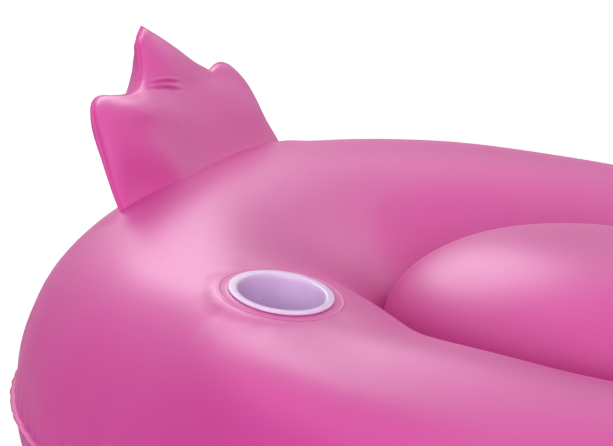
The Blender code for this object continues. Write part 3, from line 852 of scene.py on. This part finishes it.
def makeSeat(look):
    turn = np.arange(seat["columns"]) * math.tau / seat["columns"]
    shares = np.sin(np.linspace(math.pi / 2, seat["innermost"], seat["rows"]))
    crown = np.sqrt(np.maximum(0.0, 1 - shares ** seat["fullness"]))
    grid = seatGrid(turn, shares, deckAt, seat["rise"] * crown)
    normals = gridNormals(grid)
    climb = travelAlong(grid)
    pleats = np.random.default_rng(hull["seed"] + 3)
    total = np.zeros_like(climb)
    for index in range(seat["pleatCount"]):
        at = math.tau * (index + pleats.uniform(-0.35, 0.35)) / seat["pleatCount"]
        off = wrapped(turn[None, :] - at, math.tau)
        reach = pleats.uniform(*seat["pleatReach"])
        width = pleats.uniform(*seat["pleatWidth"])
        total -= pleats.uniform(0.2, 1.0) * hump(off, width) * hump(climb, reach, 1.4)
    grid = moved(grid, normals, seat["pleatDepth"] * total * smoothstep(climb / 0.004))
    grid = moved(grid, normals, slowDents(grid, 5, seat["slackDepth"]) * smoothstep(climb / 0.04))
    grid = pullFlat(grid, valvePlaces["seat"], "seat")
    top = sheetObject("seatCushion", grid, look, pole=grid[-1].mean(0))
    deckHole(top, valvePlaces["seat"], valve["holeRadius"])
    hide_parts("seat_top_sheet")
    shares = np.linspace(1, seat["innermost"], seat["bellyRows"])
    grid = seatGrid(turn, shares, bellyAt, -seat["bellyDrop"] * np.sqrt(1 - shares ** 2))
    bottom = sheetObject("seatBottomSheet", grid, look, flip=True, pole=grid[-1].mean(0))
    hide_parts("seat_bottom_sheet")


# Cup holder

def makeCup(lavender, pink):
    place = raised(cupSpot, film["thickness"] + 2 * film["gap"])
    wall, low, lip = cup["wall"], -cup["depth"], cup["rim"]
    well, foot, rim = cup["wellRadius"], cup["footRadius"], cup["rimRadius"]
    inner = foot - wall
    profile = [
        (0.0001, low + wall), (inner * 0.80, low + wall),
        (inner * 0.84, low + wall + 0.002), (inner - 0.001, low + wall + 0.002),
        (inner + 0.001, low + wall + 0.010), (well - wall, -0.002),
        (well - wall + 0.0014, lip), (rim, lip), (rim, 0.0), (well, 0.0),
        (foot, low + 0.004), (foot - 0.004, low), (0.0001, low),
    ]
    holder = turned("cupHolder", softened(profile, 0.0016), place, lavender, steps=cup["columns"])
    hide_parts("cup_holder_cup")
    hole, edge = cup["holeRadius"], cup["weldRadius"]
    ring = [
        (edge + 0.0012, -0.0012), (edge, -0.0001), (edge - 0.0008, 0.0005),
        (edge - 0.0022, 0.0005), (edge - 0.0030, 0.0002),
        (rim + 0.0028, 0.0002), (rim + 0.0016, 0.0006), (rim + 0.0004, 0.0007),
        (hole, 0.0007), (hole, 0.0001),
    ]
    place = raised(cupSpot, film["gap"] / 2)
    weld = turned("cupHolderWeldRing", softened(ring, 0.0006, 3), place, pink, steps=cup["columns"])
    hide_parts("cup_holder_weld_ring")


# Tail

# across as a share of the half width, and up as a share of the height
tailOutline = np.array([
    (-0.02, 1.0), (0.185, 0.844), (0.365, 0.678), (0.505, 0.583), (0.600, 0.608), (0.686, 0.606),
    (0.773, 0.561), (0.860, 0.450), (0.900, 0.311), (0.922, 0.144), (0.960, 0.0), (1.000, -0.20),
    (0.900, -0.42), (0.560, -0.60), (0.0, -0.66), (-0.560, -0.60), (-0.900, -0.42), (-1.000, -0.20),
    (-1.015, 0.0), (-1.000, 0.172), (-0.968, 0.372), (-0.933, 0.520), (-0.880, 0.618), (-0.805, 0.662),
    (-0.720, 0.666), (-0.610, 0.642), (-0.480, 0.620), (-0.380, 0.630), (-0.290, 0.680), (-0.215, 0.765),
    (-0.172, 0.850), (-0.130, 0.930),
])
tailCorners = {0, 3}          # the top tip and the notch beside it are bent sharply


def smoothOutline(spots, corners, count):
    # a closed curve through the points, bent at the corners, with evenly spaced columns
    number = len(spots)
    fine = []
    for i in range(number):
        j = (i + 1) % number
        a, b = spots[i], spots[j]
        slopeA = (b - a) if i in corners else (b - spots[i - 1]) / 2
        slopeB = (b - a) if j in corners else (spots[(j + 1) % number] - a) / 2
        fine += [between(t, a, b, slopeA, slopeB) for t in np.linspace(0, 1, 40, endpoint=False)]
    fine = np.array(fine + fine[:1])
    travel = travelAlong(fine)
    return resampled(fine, travel, np.arange(count) / count * travel[-1])


def blownHeight(flat):
    # the height of a soap film under even pressure, held at the outline
    rows, columns = flat.shape[:2]
    points = np.vstack([flat.reshape(-1, 2), flat[-1].mean(0)])
    number = np.arange(rows * columns).reshape(rows, columns)
    after = np.roll(number, -1, 1)
    a, b, c, d = number[:-1], after[:-1], after[1:], number[1:]
    tip = np.full(columns, rows * columns)
    triangles = np.concatenate([
        np.stack([a, b, c], -1).reshape(-1, 3),
        np.stack([a, c, d], -1).reshape(-1, 3),
        np.stack([number[-1], after[-1], tip], -1),
    ])
    corners = points[triangles]
    total = len(points)
    left, right, weight = [], [], []
    for k in range(3):
        i, j, o = triangles[:, k], triangles[:, (k + 1) % 3], corners[:, (k + 2) % 3]
        u, v = corners[:, k] - o, corners[:, (k + 1) % 3] - o
        cross = np.abs(u[:, 0] * v[:, 1] - u[:, 1] * v[:, 0])
        left.append(i)
        right.append(j)
        weight.append(0.5 * (u * v).sum(-1) / np.maximum(cross, 1e-12))
    left, right, weight = (np.concatenate(item) for item in (left, right, weight))
    edgeA, edgeB = corners[:, 1] - corners[:, 0], corners[:, 2] - corners[:, 0]
    area = np.abs(edgeA[:, 0] * edgeB[:, 1] - edgeA[:, 1] * edgeB[:, 0]) / 2
    load = np.bincount(triangles.ravel(), np.repeat(area / 3, 3), total)
    free = np.ones(total)
    free[:columns] = 0

    def stiffness(values):
        pull = weight * (values[left] - values[right])
        return free * (np.bincount(left, pull, total) - np.bincount(right, pull, total))

    height = np.zeros(total)
    rest = free * load
    step = rest.copy()
    energy = rest @ rest
    for _ in range(tail["solverSteps"]):
        bend = stiffness(step)
        ratio = energy / max(step @ bend, 1e-30)
        height += ratio * step
        rest -= ratio * bend
        remains = rest @ rest
        if remains < 1e-14 * (load @ load):
            break
        step = rest + remains / energy * step
        energy = remains
    return np.maximum(height, 0.0)[:-1].reshape(rows, columns)


tailFolds = [
    # route over the front of the fan, width, and depth, which is below zero for a ridge
    ([(-0.046, 0.1148), (-0.018, 0.1095), (0.010, 0.1010)], 0.0018, 0.0024),
    ([(-0.045, 0.1176), (-0.017, 0.1124), (0.011, 0.1040)], 0.0019, -0.0014),
    ([(-0.052, 0.1095), (-0.022, 0.1025), (0.008, 0.0910)], 0.0020, 0.0026),
    ([(-0.051, 0.1123), (-0.021, 0.1055), (0.009, 0.0942)], 0.0019, -0.0014),
]
frontSwells = [
    (-0.069, 0.010, 0.058, 0.033, -46, 0.0085),
    (0.003, 0.083, 0.037, 0.095, 48, -0.0050),
    (-0.083, 0.091, 0.018, 0.044, 79, 0.0062),
    (0.076, 0.083, 0.100, 0.042, 0, -0.0091),
]
backSwells = [
    (-0.118, 0.045, 0.055, 0.110, 0, -0.020),
    (-0.040, 0.120, 0.028, 0.045, 0, 0.015),
]


def foldDepth(flat):
    total = np.zeros(flat.shape[:2])
    for route, width, depth in tailFolds:
        route = np.array(route)
        travel = travelAlong(route)
        nearest, share = np.full(flat.shape[:2], 1.0), np.zeros(flat.shape[:2])
        for index, (start, run) in enumerate(zip(route, np.diff(route, axis=0))):
            along = np.clip(((flat - start) @ run) / (run @ run), 0, 1)
            away = np.linalg.norm(flat - start - along[..., None] * run, axis=-1)
            closer = away < nearest
            reached = travel[index] + along * (travel[index + 1] - travel[index])
            share = np.where(closer, reached / travel[-1], share)
            nearest = np.where(closer, away, nearest)
        fade = smoothstep(share / 0.4) * smoothstep((1 - share) / 0.4)
        total += depth * fade * (0.4 * hump(nearest, 2.4 * width) - hump(nearest, width))
    return total


def makeTail(look):
    ring = smoothOutline(tailOutline * (tail["halfWidth"], tail["height"]), tailCorners, tail["columns"])
    hub = np.array([0, tail["height"] * tail["hub"]])
    spoke = ring - hub
    shares = np.sin(np.linspace(math.pi / 2, 0.03, tail["rows"])) ** 0.9
    flat = hub + spoke[None] * shares[:, None, None]
    blown = np.sqrt(blownHeight(flat))
    blown /= blown.max()
    waist = tail["waist"] + (1 - tail["waist"]) * smoothstep(2 * flat[..., 1] / tail["height"])
    grown = hub + spoke * (1 + tail["flange"] / np.linalg.norm(spoke, axis=-1))[:, None]
    for name, node, bulge, side, swells in (
        ("tailFrontSheet", "tail_front_sheet", tail["frontBulge"], 1, frontSwells),
        ("tailBackSheet", "tail_back_sheet", tail["backBulge"], -1, backSwells),
    ):
        height = bulge * blown ** (2 * tail["fullness"]) * waist
        height = np.maximum(height + swelling(flat, swells) * smoothstep(blown * 2), 0.0)
        if side > 0:
            height = height + foldDepth(flat) * smoothstep(blown * 3)
        edge = withHeight(grown, np.full(len(grown), side * film["lip"]))[None]
        grid = placed(np.concatenate([edge, withHeight(flat, side * (seamOffset + height))]), tailSpot)
        sheet = sheetObject(name, grid, look, flip=side > 0, pole=grid[-1].mean(0))
        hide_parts(node)


# Neck, head and beak

neck = {
    "height": 0.60,
    "girth": 0.136,
    "footY": -0.452,
    "columns": 72,
    "rowsPerStation": 22,
    "beakStation": 11,
    "beakTipStation": 13,
    "flange": 0.005,
    "throat": (6.6, 10.8),    # stations between which the sheet spans the throat
    "throatFade": 0.9,
    "throatShare": 0.45,      # of the way round from the front edge
    "easings": 160,
    "creaseCount": 64,        # gathers along the weld in the middle plane
    "creaseDepth": 0.0016,
    "creaseReach": (0.05, 0.20),
    "creaseWidth": (0.05, 0.10),
}
# stations: forward and up as shares of the height, deep and wide as shares of the girth
neckStations = np.array([
    (0.0, -0.205, 1.00, 0.93), (0.0, -0.038, 0.95, 0.88), (-0.020, 0.128, 0.77, 0.72),
    (-0.067, 0.295, 0.62, 0.59), (-0.113, 0.462, 0.54, 0.51), (-0.140, 0.628, 0.49, 0.48),
    (-0.130, 0.780, 0.47, 0.46), (-0.075, 0.905, 0.51, 0.50), (0.020, 0.990, 0.58, 0.59),
    (0.135, 1.005, 0.62, 0.63), (0.240, 0.950, 0.53, 0.52), (0.310, 0.865, 0.41, 0.38),
    (0.350, 0.760, 0.36, 0.31), (0.370, 0.665, 0.30, 0.26), (0.360, 0.575, 0.18, 0.17),
    (0.320, 0.510, 0.06, 0.07),
])


def stationAt(at):
    last = len(neckStations) - 1
    at = min(max(at, 0), last)
    left = min(int(at), last - 1)
    before, a = neckStations[max(left - 1, 0)], neckStations[left]
    b, beyond = neckStations[left + 1], neckStations[min(left + 2, last)]
    return between(at - left, a, b, (b - before) / 2, (beyond - a) / 2)


def neckAt(at):
    forward, up, deep, wide = stationAt(at)
    ahead, behind = stationAt(at + 0.01), stationAt(at - 0.01)
    foot = np.array([0, neck["footY"], hull["seam"] + hull["deckRise"]])
    centre = foot + neck["height"] * np.array([0, -forward, up])
    tangent = unit(np.array([0, behind[0] - ahead[0], ahead[1] - behind[1]]))
    return centre, tangent, neck["girth"] * deep, neck["girth"] * wide


def halfSection(at, side, pinch=1.0, beyond=0.0):
    centre, tangent, deep, wide = neckAt(at)
    centre = centre + tangent * beyond
    front = np.array([0, -tangent[2], tangent[1]])
    angle = np.pi * (1 - np.cos(np.linspace(0, np.pi, neck["columns"] + 1))) / 2
    deep, wide = deep * pinch, wide * pinch
    rim = deep + neck["flange"]
    reach = np.concatenate([[rim], deep * np.cos(angle), [-rim]])
    out = np.concatenate([[film["lip"]], seamOffset + wide * np.sin(angle), [film["lip"]]])
    return centre + front * reach[:, None] + np.array([side, 0, 0]) * out[:, None]


def easedThroat(grid, last):
    # the sheet spans the throat, where the neck bends tighter than it is thick
    stations = np.linspace(0, last, len(grid))
    (low, high), fade = neck["throat"], neck["throatFade"]
    along = smoothstep((stations - low) / fade) * smoothstep((high - stations) / fade)
    across = 1 - smoothstep(np.linspace(0, 1, grid.shape[1]) / neck["throatShare"])
    eased = grid.copy()
    for _ in range(neck["easings"]):
        eased[1:-1] = (eased[:-2] + 2 * eased[1:-1] + eased[2:]) / 4
    return grid + (eased - grid) * (along[:, None] * across[None, :])[..., None]


def neckCreases(side, last, shape):
    draws = np.random.default_rng(hull["seed"] + 11 + side)
    climb = np.linspace(0, last, shape[0])[:, None]
    angle = np.linspace(0, 1, shape[1])[None, :]
    total = np.zeros(shape)
    for _ in range(neck["creaseCount"]):
        at = draws.uniform(1.0, last - 0.5)
        edge = draws.choice([0.0, 1.0])
        reach = draws.uniform(*neck["creaseReach"])
        width = draws.uniform(*neck["creaseWidth"])
        total -= draws.uniform(0.2, 1.0) * hump(climb - at, width) * hump(np.abs(angle - edge), reach, 1.6)
    return neck["creaseDepth"] * total * smoothstep(np.minimum(angle, 1 - angle) * 14)


def makeNeckPiece(name, node, side, first, last, look):
    count = int((last - first) * neck["rowsPerStation"])
    rows = [halfSection(at, side) for at in np.linspace(first, last, count + 1)]
    if last == len(neckStations) - 1:
        radius = neck["girth"] * neckStations[-1][2]
        for t in np.linspace(0, 1, 9)[1:]:
            rows.append(halfSection(last, side, math.sqrt(max(0.0, 1 - t * t)), radius * t))
    grid = np.array(rows)
    if first == 0:
        grid = easedThroat(grid, last)
        body = grid[:, 1:-1]
        normals = side * gridNormals(body, closed=False)
        grid[:, 1:-1] = moved(body, normals, neckCreases(side, last, body.shape[:2]))
    if name == "neckHeadPort":
        grid[:, 1:-1] = pullFlat(grid[:, 1:-1], valvePlaces["neck"], "neck")
    piece = sheetObject(name, grid, look, closed=False, flip=side < 0)
    if name == "neckHeadPort":
        deckHole(piece, valvePlaces["neck"], valve["holeRadius"])
    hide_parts(node)


def makeNeck(pink, white, black):
    last = len(neckStations) - 1
    pieces = (
        ("neckHead", "neck_head", 0, neck["beakStation"], pink),
        ("beak", "beak", neck["beakStation"], neck["beakTipStation"], white),
        ("beakTip", "beak_tip", neck["beakTipStation"], last, black),
    )
    for side, word in ((1, "Port"), (-1, "Starboard")):
        for name, node, first, end, look in pieces:
            makeNeckPiece(name + word, f"{node}_{word.lower()}_sheet", side, first, end, look)


# Valves

def makeValve(name, look):
    base = raised(valvePlaces[name], film["gap"])
    well, deep, thick = valve["wellRadius"], valve["wellDepth"], valve["flangeThickness"]
    bore, flange = well - valve["wellWall"], valve["flangeRadius"]
    collar = [
        (bore, -deep), (bore, thick + 0.0008), (bore + 0.0022, thick + 0.0008), (bore + 0.0030, thick),
        (flange - 0.003, thick), (flange, 0.0006), (flange, 0.0), (well, 0.0), (well, -deep),
    ]
    outer, inner, long = bore - film["gap"], valve["boreRadius"], valve["stemLength"]
    top = raised(base, thick - valve["capThickness"])
    tube = [
        (outer, 0.0), (outer, -0.004), (outer - 0.0008, -0.005), (outer - 0.0008, -0.007), (outer, -0.008),
        (outer, -long), (inner, -long), (inner, 0.0), (outer, 0.0),
    ]
    radius, thin = inner + valve["flapOverlap"], -valve["flapThickness"]
    disc = [(0.00005, 0.0), (radius, 0.0), (radius, thin), (0.00005, thin)]
    spigot, cap, nose = inner - film["gap"], valve["capThickness"], valve["plugLength"]
    plug = [
        (0.00005, cap - 0.0006), (spigot - 0.001, cap - 0.0006), (spigot, cap), (outer, cap), (outer, 0.0),
        (spigot, 0.0), (spigot, -0.003), (spigot - 0.0004, -0.0034), (spigot - 0.0004, -0.0042),
        (spigot, -0.0046), (spigot - valve["plugTaper"], -nose), (0.00005, -nose),
    ]
    inside, outside = raised(top, -long - film["gap"]), raised(top, film["gap"])
    for part, profile, place, body, loop in (
        ("Collar", softened(collar, 0.0005, 4), base, "float", True),
        ("Stem", softened(tube, 0.0004, 4)[:-1], top, f"{name}_stem", True),
        ("Flap", softened(disc, 0.0003, 4), inside, f"{name}_flap", False),
        ("Plug", softened(plug, 0.0004, 4), outside, f"{name}_plug", False),
    ):
        piece = turned(f"{name}Valve{part}", profile, place, look, body, loop=loop)
        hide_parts(f"{name}_valve_{part.lower()}")
    tabMesh(f"{name}ValvePlugTab", raised(outside, cap), outer, look, f"{name}_plug")


def tabMesh(name, place, start, look, body):
    # a thin pull tab with a round end and a raised bead
    turn = np.linspace(-math.pi / 2, math.pi / 2, 17)
    half, reach, thick = valve["tabWidth"] / 2, valve["tabLength"] / 2, valve["tabThickness"]
    outline = [(-reach, half), (-reach, -half)]
    outline += [(reach - half + half * math.cos(t), half * math.sin(t)) for t in turn]
    levels = [(1.0, -0.0002), (1.0, thick * 0.6), (0.88, thick * 0.9), (0.78, thick)]
    rows = [[(start + x * scale, y * scale, z) for x, y in outline] for scale, z in levels]
    grid = placed(np.array(rows), place)
    sheetObject(name, grid, look, body, flip=True, pole=grid[-1].mean(0))


# Handles

handle = {
    "gripRadius": 0.0065,
    "rise": 0.040,
    "end": 0.0065,
    "postRadius": 0.0100,
    "eyeHeight": 0.0125,
    "padRadius": 0.019,
    "padThickness": 0.002,
    "eyeWall": 0.003,
    "ribCount": 13,
    "ribDepth": 0.0006,
    "ribStart": 0.26,         # as a share of the grip's length, and as far from its other end
    "ribFade": 0.06,
    "bendRadius": 0.016,
    "straight": 0.004,        # over this length the bent line leaves the straight end
    "rows": 180,
    "columns": 28,
}
# along the span, and up as a share of the rise
gripArch = [(0.15, 0.06), (0.19, 0.35), (0.25, 0.72), (0.34, 0.93), (0.5, 1.0)]


def gripPlace(side):
    # X runs from one pad's eye to the other's, Z out of the deck
    pads = [padPlaces[side, end] for end in ("front", "rear")]
    eyes = [raised(pad, film["gap"] + handle["eyeHeight"]).translation for pad in pads]
    out = pads[0].col[2].xyz + pads[1].col[2].xyz
    return placeAt((eyes[0] + eyes[1]) / 2, eyes[1] - eyes[0], out), (eyes[1] - eyes[0]).length


def shrunk(row, share):
    middle = row.mean(1, keepdims=True)
    return middle + (row - middle) * share


def makeGrip(side, look):
    place, span = gripPlace(side)
    post, straight = handle["postRadius"], handle["straight"]
    half = [(-handle["end"], 0), (post, 0)] + [(x * span, z * handle["rise"]) for x, z in gripArch]
    route = np.array(half + [(span - x, z) for x, z in half[-2::-1]])
    route = np.array(softened(route, handle["bendRadius"], 8))
    travel = travelAlong(route)
    wanted = np.linspace(0, travel[-1], handle["rows"])
    line = resampled(route, travel, wanted)
    padded = np.vstack([np.repeat(line[:1], 3, 0), line, np.repeat(line[-1:], 3, 0)])
    smooth = np.stack([np.convolve(padded[:, k], np.ones(7) / 7, "valid") for k in (0, 1)], -1)
    atEnd = smoothstep((np.abs(line[:, :1] - span / 2) - (span / 2 - post - straight)) / straight)
    line = smooth * (1 - atEnd) + line * atEnd
    tangent = unit(np.gradient(line, axis=0))
    normal = np.stack([-tangent[:, 1], tangent[:, 0]], -1)
    share, start, fade = wanted / travel[-1], handle["ribStart"], handle["ribFade"]
    middle = smoothstep((share - start) / fade) * smoothstep((1 - start - share) / fade)
    phase = (share - start) / (1 - 2 * start) * handle["ribCount"] * math.tau
    ribs = middle * (0.5 - 0.5 * np.cos(phase))
    turn = np.arange(handle["columns"]) * math.tau / handle["columns"]
    radius = handle["gripRadius"] - handle["ribDepth"] * ribs[:, None] * (0.5 - 0.5 * np.sin(turn))[None, :]
    along = line[:, None, :] + normal[:, None, :] * (radius * np.sin(turn))[..., None]
    grid = np.stack([along[..., 0] - span / 2, -radius * np.cos(turn), along[..., 1]], -1)
    caps = [shrunk(grid[:1], share) for share in (0.02, 0.85)]
    ends = [shrunk(grid[-1:], share) for share in (0.85, 0.02)]
    grid = placed(np.concatenate([*caps, grid, *ends]), place)
    grip = sheetObject(f"{side}Grip", grid, look, f"{side}_grip")
    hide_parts(f"handle_{side}_grip")


def makePads(look):
    top = handle["eyeHeight"] + handle["gripRadius"] + handle["eyeWall"]
    post, foot, thick = handle["postRadius"], handle["padRadius"], handle["padThickness"]
    profile = [(0.00005, top), (post, top), (post, thick), (foot, thick * 0.4), (foot, 0.0), (0.00005, 0.0)]
    profile = softened(profile, handle["eyeWall"] * 0.8, 8)
    for (side, end), place in padPlaces.items():
        pad = turned(f"{side}{end.title()}Pad", profile, raised(place, film["gap"]), look)
        cutEye(pad, gripPlace(side)[0])
        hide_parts(f"handle_{side}_{end}_pad")


def cutEye(pad, place):
    # closes the turned pad and bores the eye that the grip's end turns in
    bm = bmesh.new()
    bm.from_mesh(pad.data)
    bmesh.ops.holes_fill(bm, edges=[edge for edge in bm.edges if edge.is_boundary])
    bm.to_mesh(pad.data)
    bm.free()
    drill = bpy.data.meshes.new("eyeDrill")
    bm = bmesh.new()
    radius = handle["gripRadius"] + film["gap"]
    bmesh.ops.create_cone(bm, cap_ends=True, segments=64, radius1=radius, radius2=radius, depth=0.6)
    bm.transform(pad.matrix_world.inverted() @ place @ Matrix.Rotation(math.pi / 2, 4, "Y"))
    bm.to_mesh(drill)
    bm.free()
    tool = linked("eyeDrill", drill)
    tool.matrix_world = pad.matrix_world
    bore = pad.modifiers.new("eye", "BOOLEAN")
    bore.object = tool
    bore.solver = "EXACT"
    bpy.context.view_layer.update()
    cut = bpy.data.meshes.new_from_object(pad.evaluated_get(bpy.context.evaluated_depsgraph_get()))
    pad.modifiers.clear()
    pad.data = cut
    cut.shade_smooth()
    cut.set_sharp_from_angle(angle=math.radians(40))
    bpy.data.objects.remove(tool)


# Floor, light and camera

studio = {
    "floorColour": (0.80, 0.80, 0.80),
    "floorSize": 60,
    "floorDrop": 0.0005,
    "floorGlow": 0.52,
    "ambient": 0.50,
    "lamps": {
        # azimuth from +Y towards +X, elevation, strength, width of the soft box, where it is seen
        "key": (10, 40, 0.25, 50, "all"),
        "ceiling": (234, 80, 5.6, 140, "gloss"),
        "side": (115, 25, 1.1, 60, "gloss"),
        "fill": (246, 11, 2.05, 60, "matt"),
    },
    "softBox": {"at": (0.185, 1.02, 1.035), "towards": (-0.20, 0.33, 0.42), "width": 0.85, "watts": 10.0},
}
# fitted to the outline, the seat, the cup holder and the tail as the photograph shows them
view = {
    "azimuth": -53.81,
    "elevation": 21.20,
    "roll": 1.464,
    "distance": 2.618,
    "focalPixels": 2370,
    "imageWidth": 613,
    "target": (-0.0435, 0.3928, 0.3993),
}


def addLamp(name, kind, power, back, seen):
    # back is the direction from what it lights to the lamp
    light = bpy.data.lights.new(name, kind)
    light.energy = power
    lamp = linked(name, light)
    lamp.rotation_euler = back.to_track_quat("Z", "Y").to_euler()
    lamp.visible_glossy = seen != "matt"
    lamp.visible_diffuse = seen != "gloss"
    return lamp


def makeLamps():
    for name, (azimuth, elevation, strength, width, seen) in studio["lamps"].items():
        a, e = math.radians(azimuth), math.radians(elevation)
        back = Vector((math.sin(a) * math.cos(e), math.cos(a) * math.cos(e), math.sin(e)))
        addLamp(name, "SUN", strength, back, seen).data.angle = math.radians(width)
    # the near lamp whose gloss runs along the rear deck
    box = studio["softBox"]
    lamp = addLamp("softBox", "AREA", box["watts"], Vector(box["at"]) - Vector(box["towards"]), "gloss")
    lamp.data.shape = "DISK"
    lamp.data.size = box["width"]
    lamp.location = box["at"]
    lamp.visible_camera = False


def makeWorld():
    # white to the camera and in the gloss, dimmer as light
    world = bpy.data.worlds.new("studio")
    bpy.context.scene.world = world
    sky = Nodes(world)
    path = sky.node("ShaderNodeLightPath").outputs
    seen = Value(sky, path["Is Camera Ray"]).maths("MAXIMUM", path["Is Camera Ray"], path["Is Glossy Ray"])
    background = sky.tree.nodes["Background"].inputs
    sky.feed(background["Color"], (1, 1, 1))
    sky.feed(background["Strength"], studio["ambient"] + seen * (1 - studio["ambient"]))


def makeFloor():
    floor = Finish("paleFloor")
    camera = Value(floor, floor.node("ShaderNodeLightPath").outputs["Is Camera Ray"])
    floor.use(Base_Color=studio["floorColour"], Roughness=0.9, Specular_IOR_Level=0.0)
    floor.use(Emission_Color=(1, 1, 1), Emission_Strength=camera * studio["floorGlow"])
    size = studio["floorSize"]
    mesh = bpy.data.meshes.new("floor")
    corners = [(-size, -size, 0), (size, -size, 0), (size, size, 0), (-size, size, 0)]
    mesh.from_pydata(corners, [], [(0, 1, 2, 3)])
    mesh.materials.append(floor.material)
    ground = linked("floor", mesh)
    ground.location.z = -studio["floorDrop"]


def makeCamera():
    a, e, r = (math.radians(view[key]) for key in ("azimuth", "elevation", "roll"))
    back = Vector((math.sin(a) * math.cos(e), -math.cos(a) * math.cos(e), math.sin(e)))
    right = Vector((math.cos(a), math.sin(a), 0))
    up = back.cross(right)
    right, up = right * math.cos(r) + up * math.sin(r), up * math.cos(r) - right * math.sin(r)
    data = bpy.data.cameras.new("camera")
    data.sensor_fit = "HORIZONTAL"
    data.sensor_width = 36
    data.lens = data.sensor_width * view["focalPixels"] / view["imageWidth"]
    camera = linked("camera", data)
    turn = Matrix((right, up, back)).transposed().to_4x4()
    camera.matrix_world = Matrix.Translation(Vector(view["target"]) + back * view["distance"]) @ turn
    bpy.context.scene.camera = camera


makeCamera()
makeWorld()
makeLamps()
makeFloor()
bpy.context.scene.view_settings.view_transform = "Standard"
print("studio ready")

eyeCentre = Vector(neckAt(eye["station"])[0]) + Vector((0, 0, eye["rise"]))
headLook = printedFilm(eyeCentre)
pinkLook = plainFilm("pink", "pink_vinyl")
tailLook = plainFilm("tailPink", "tail_pink_vinyl")
whiteLook = plainFilm("white", "white_vinyl")
blackLook = plainFilm("black", "black_vinyl")
lavenderLook, clearLook, pinkMouldLook = (moulded(kind) for kind in ("lavender", "clear", "pink"))

makeHull(pinkLook)
makeBelly(pinkLook)
print("hull ready")
makeSeat(pinkLook)
print("seat ready")
makeCup(lavenderLook, pinkLook)
print("cup holder ready")
makeTail(tailLook)
print("tail ready")
makeNeck(headLook, whiteLook, blackLook)
print("neck ready")
for name in valvePlaces:
    makeValve(name, clearLook)
print("valves ready")
for side in ("port", "starboard"):
    makeGrip(side, pinkMouldLook)
makePads(pinkMouldLook)
baffle = frame["nodes"]["seat_ring_baffle"].data.materials
baffle.clear()
baffle.append(pinkLook["material"])
print("handles ready")
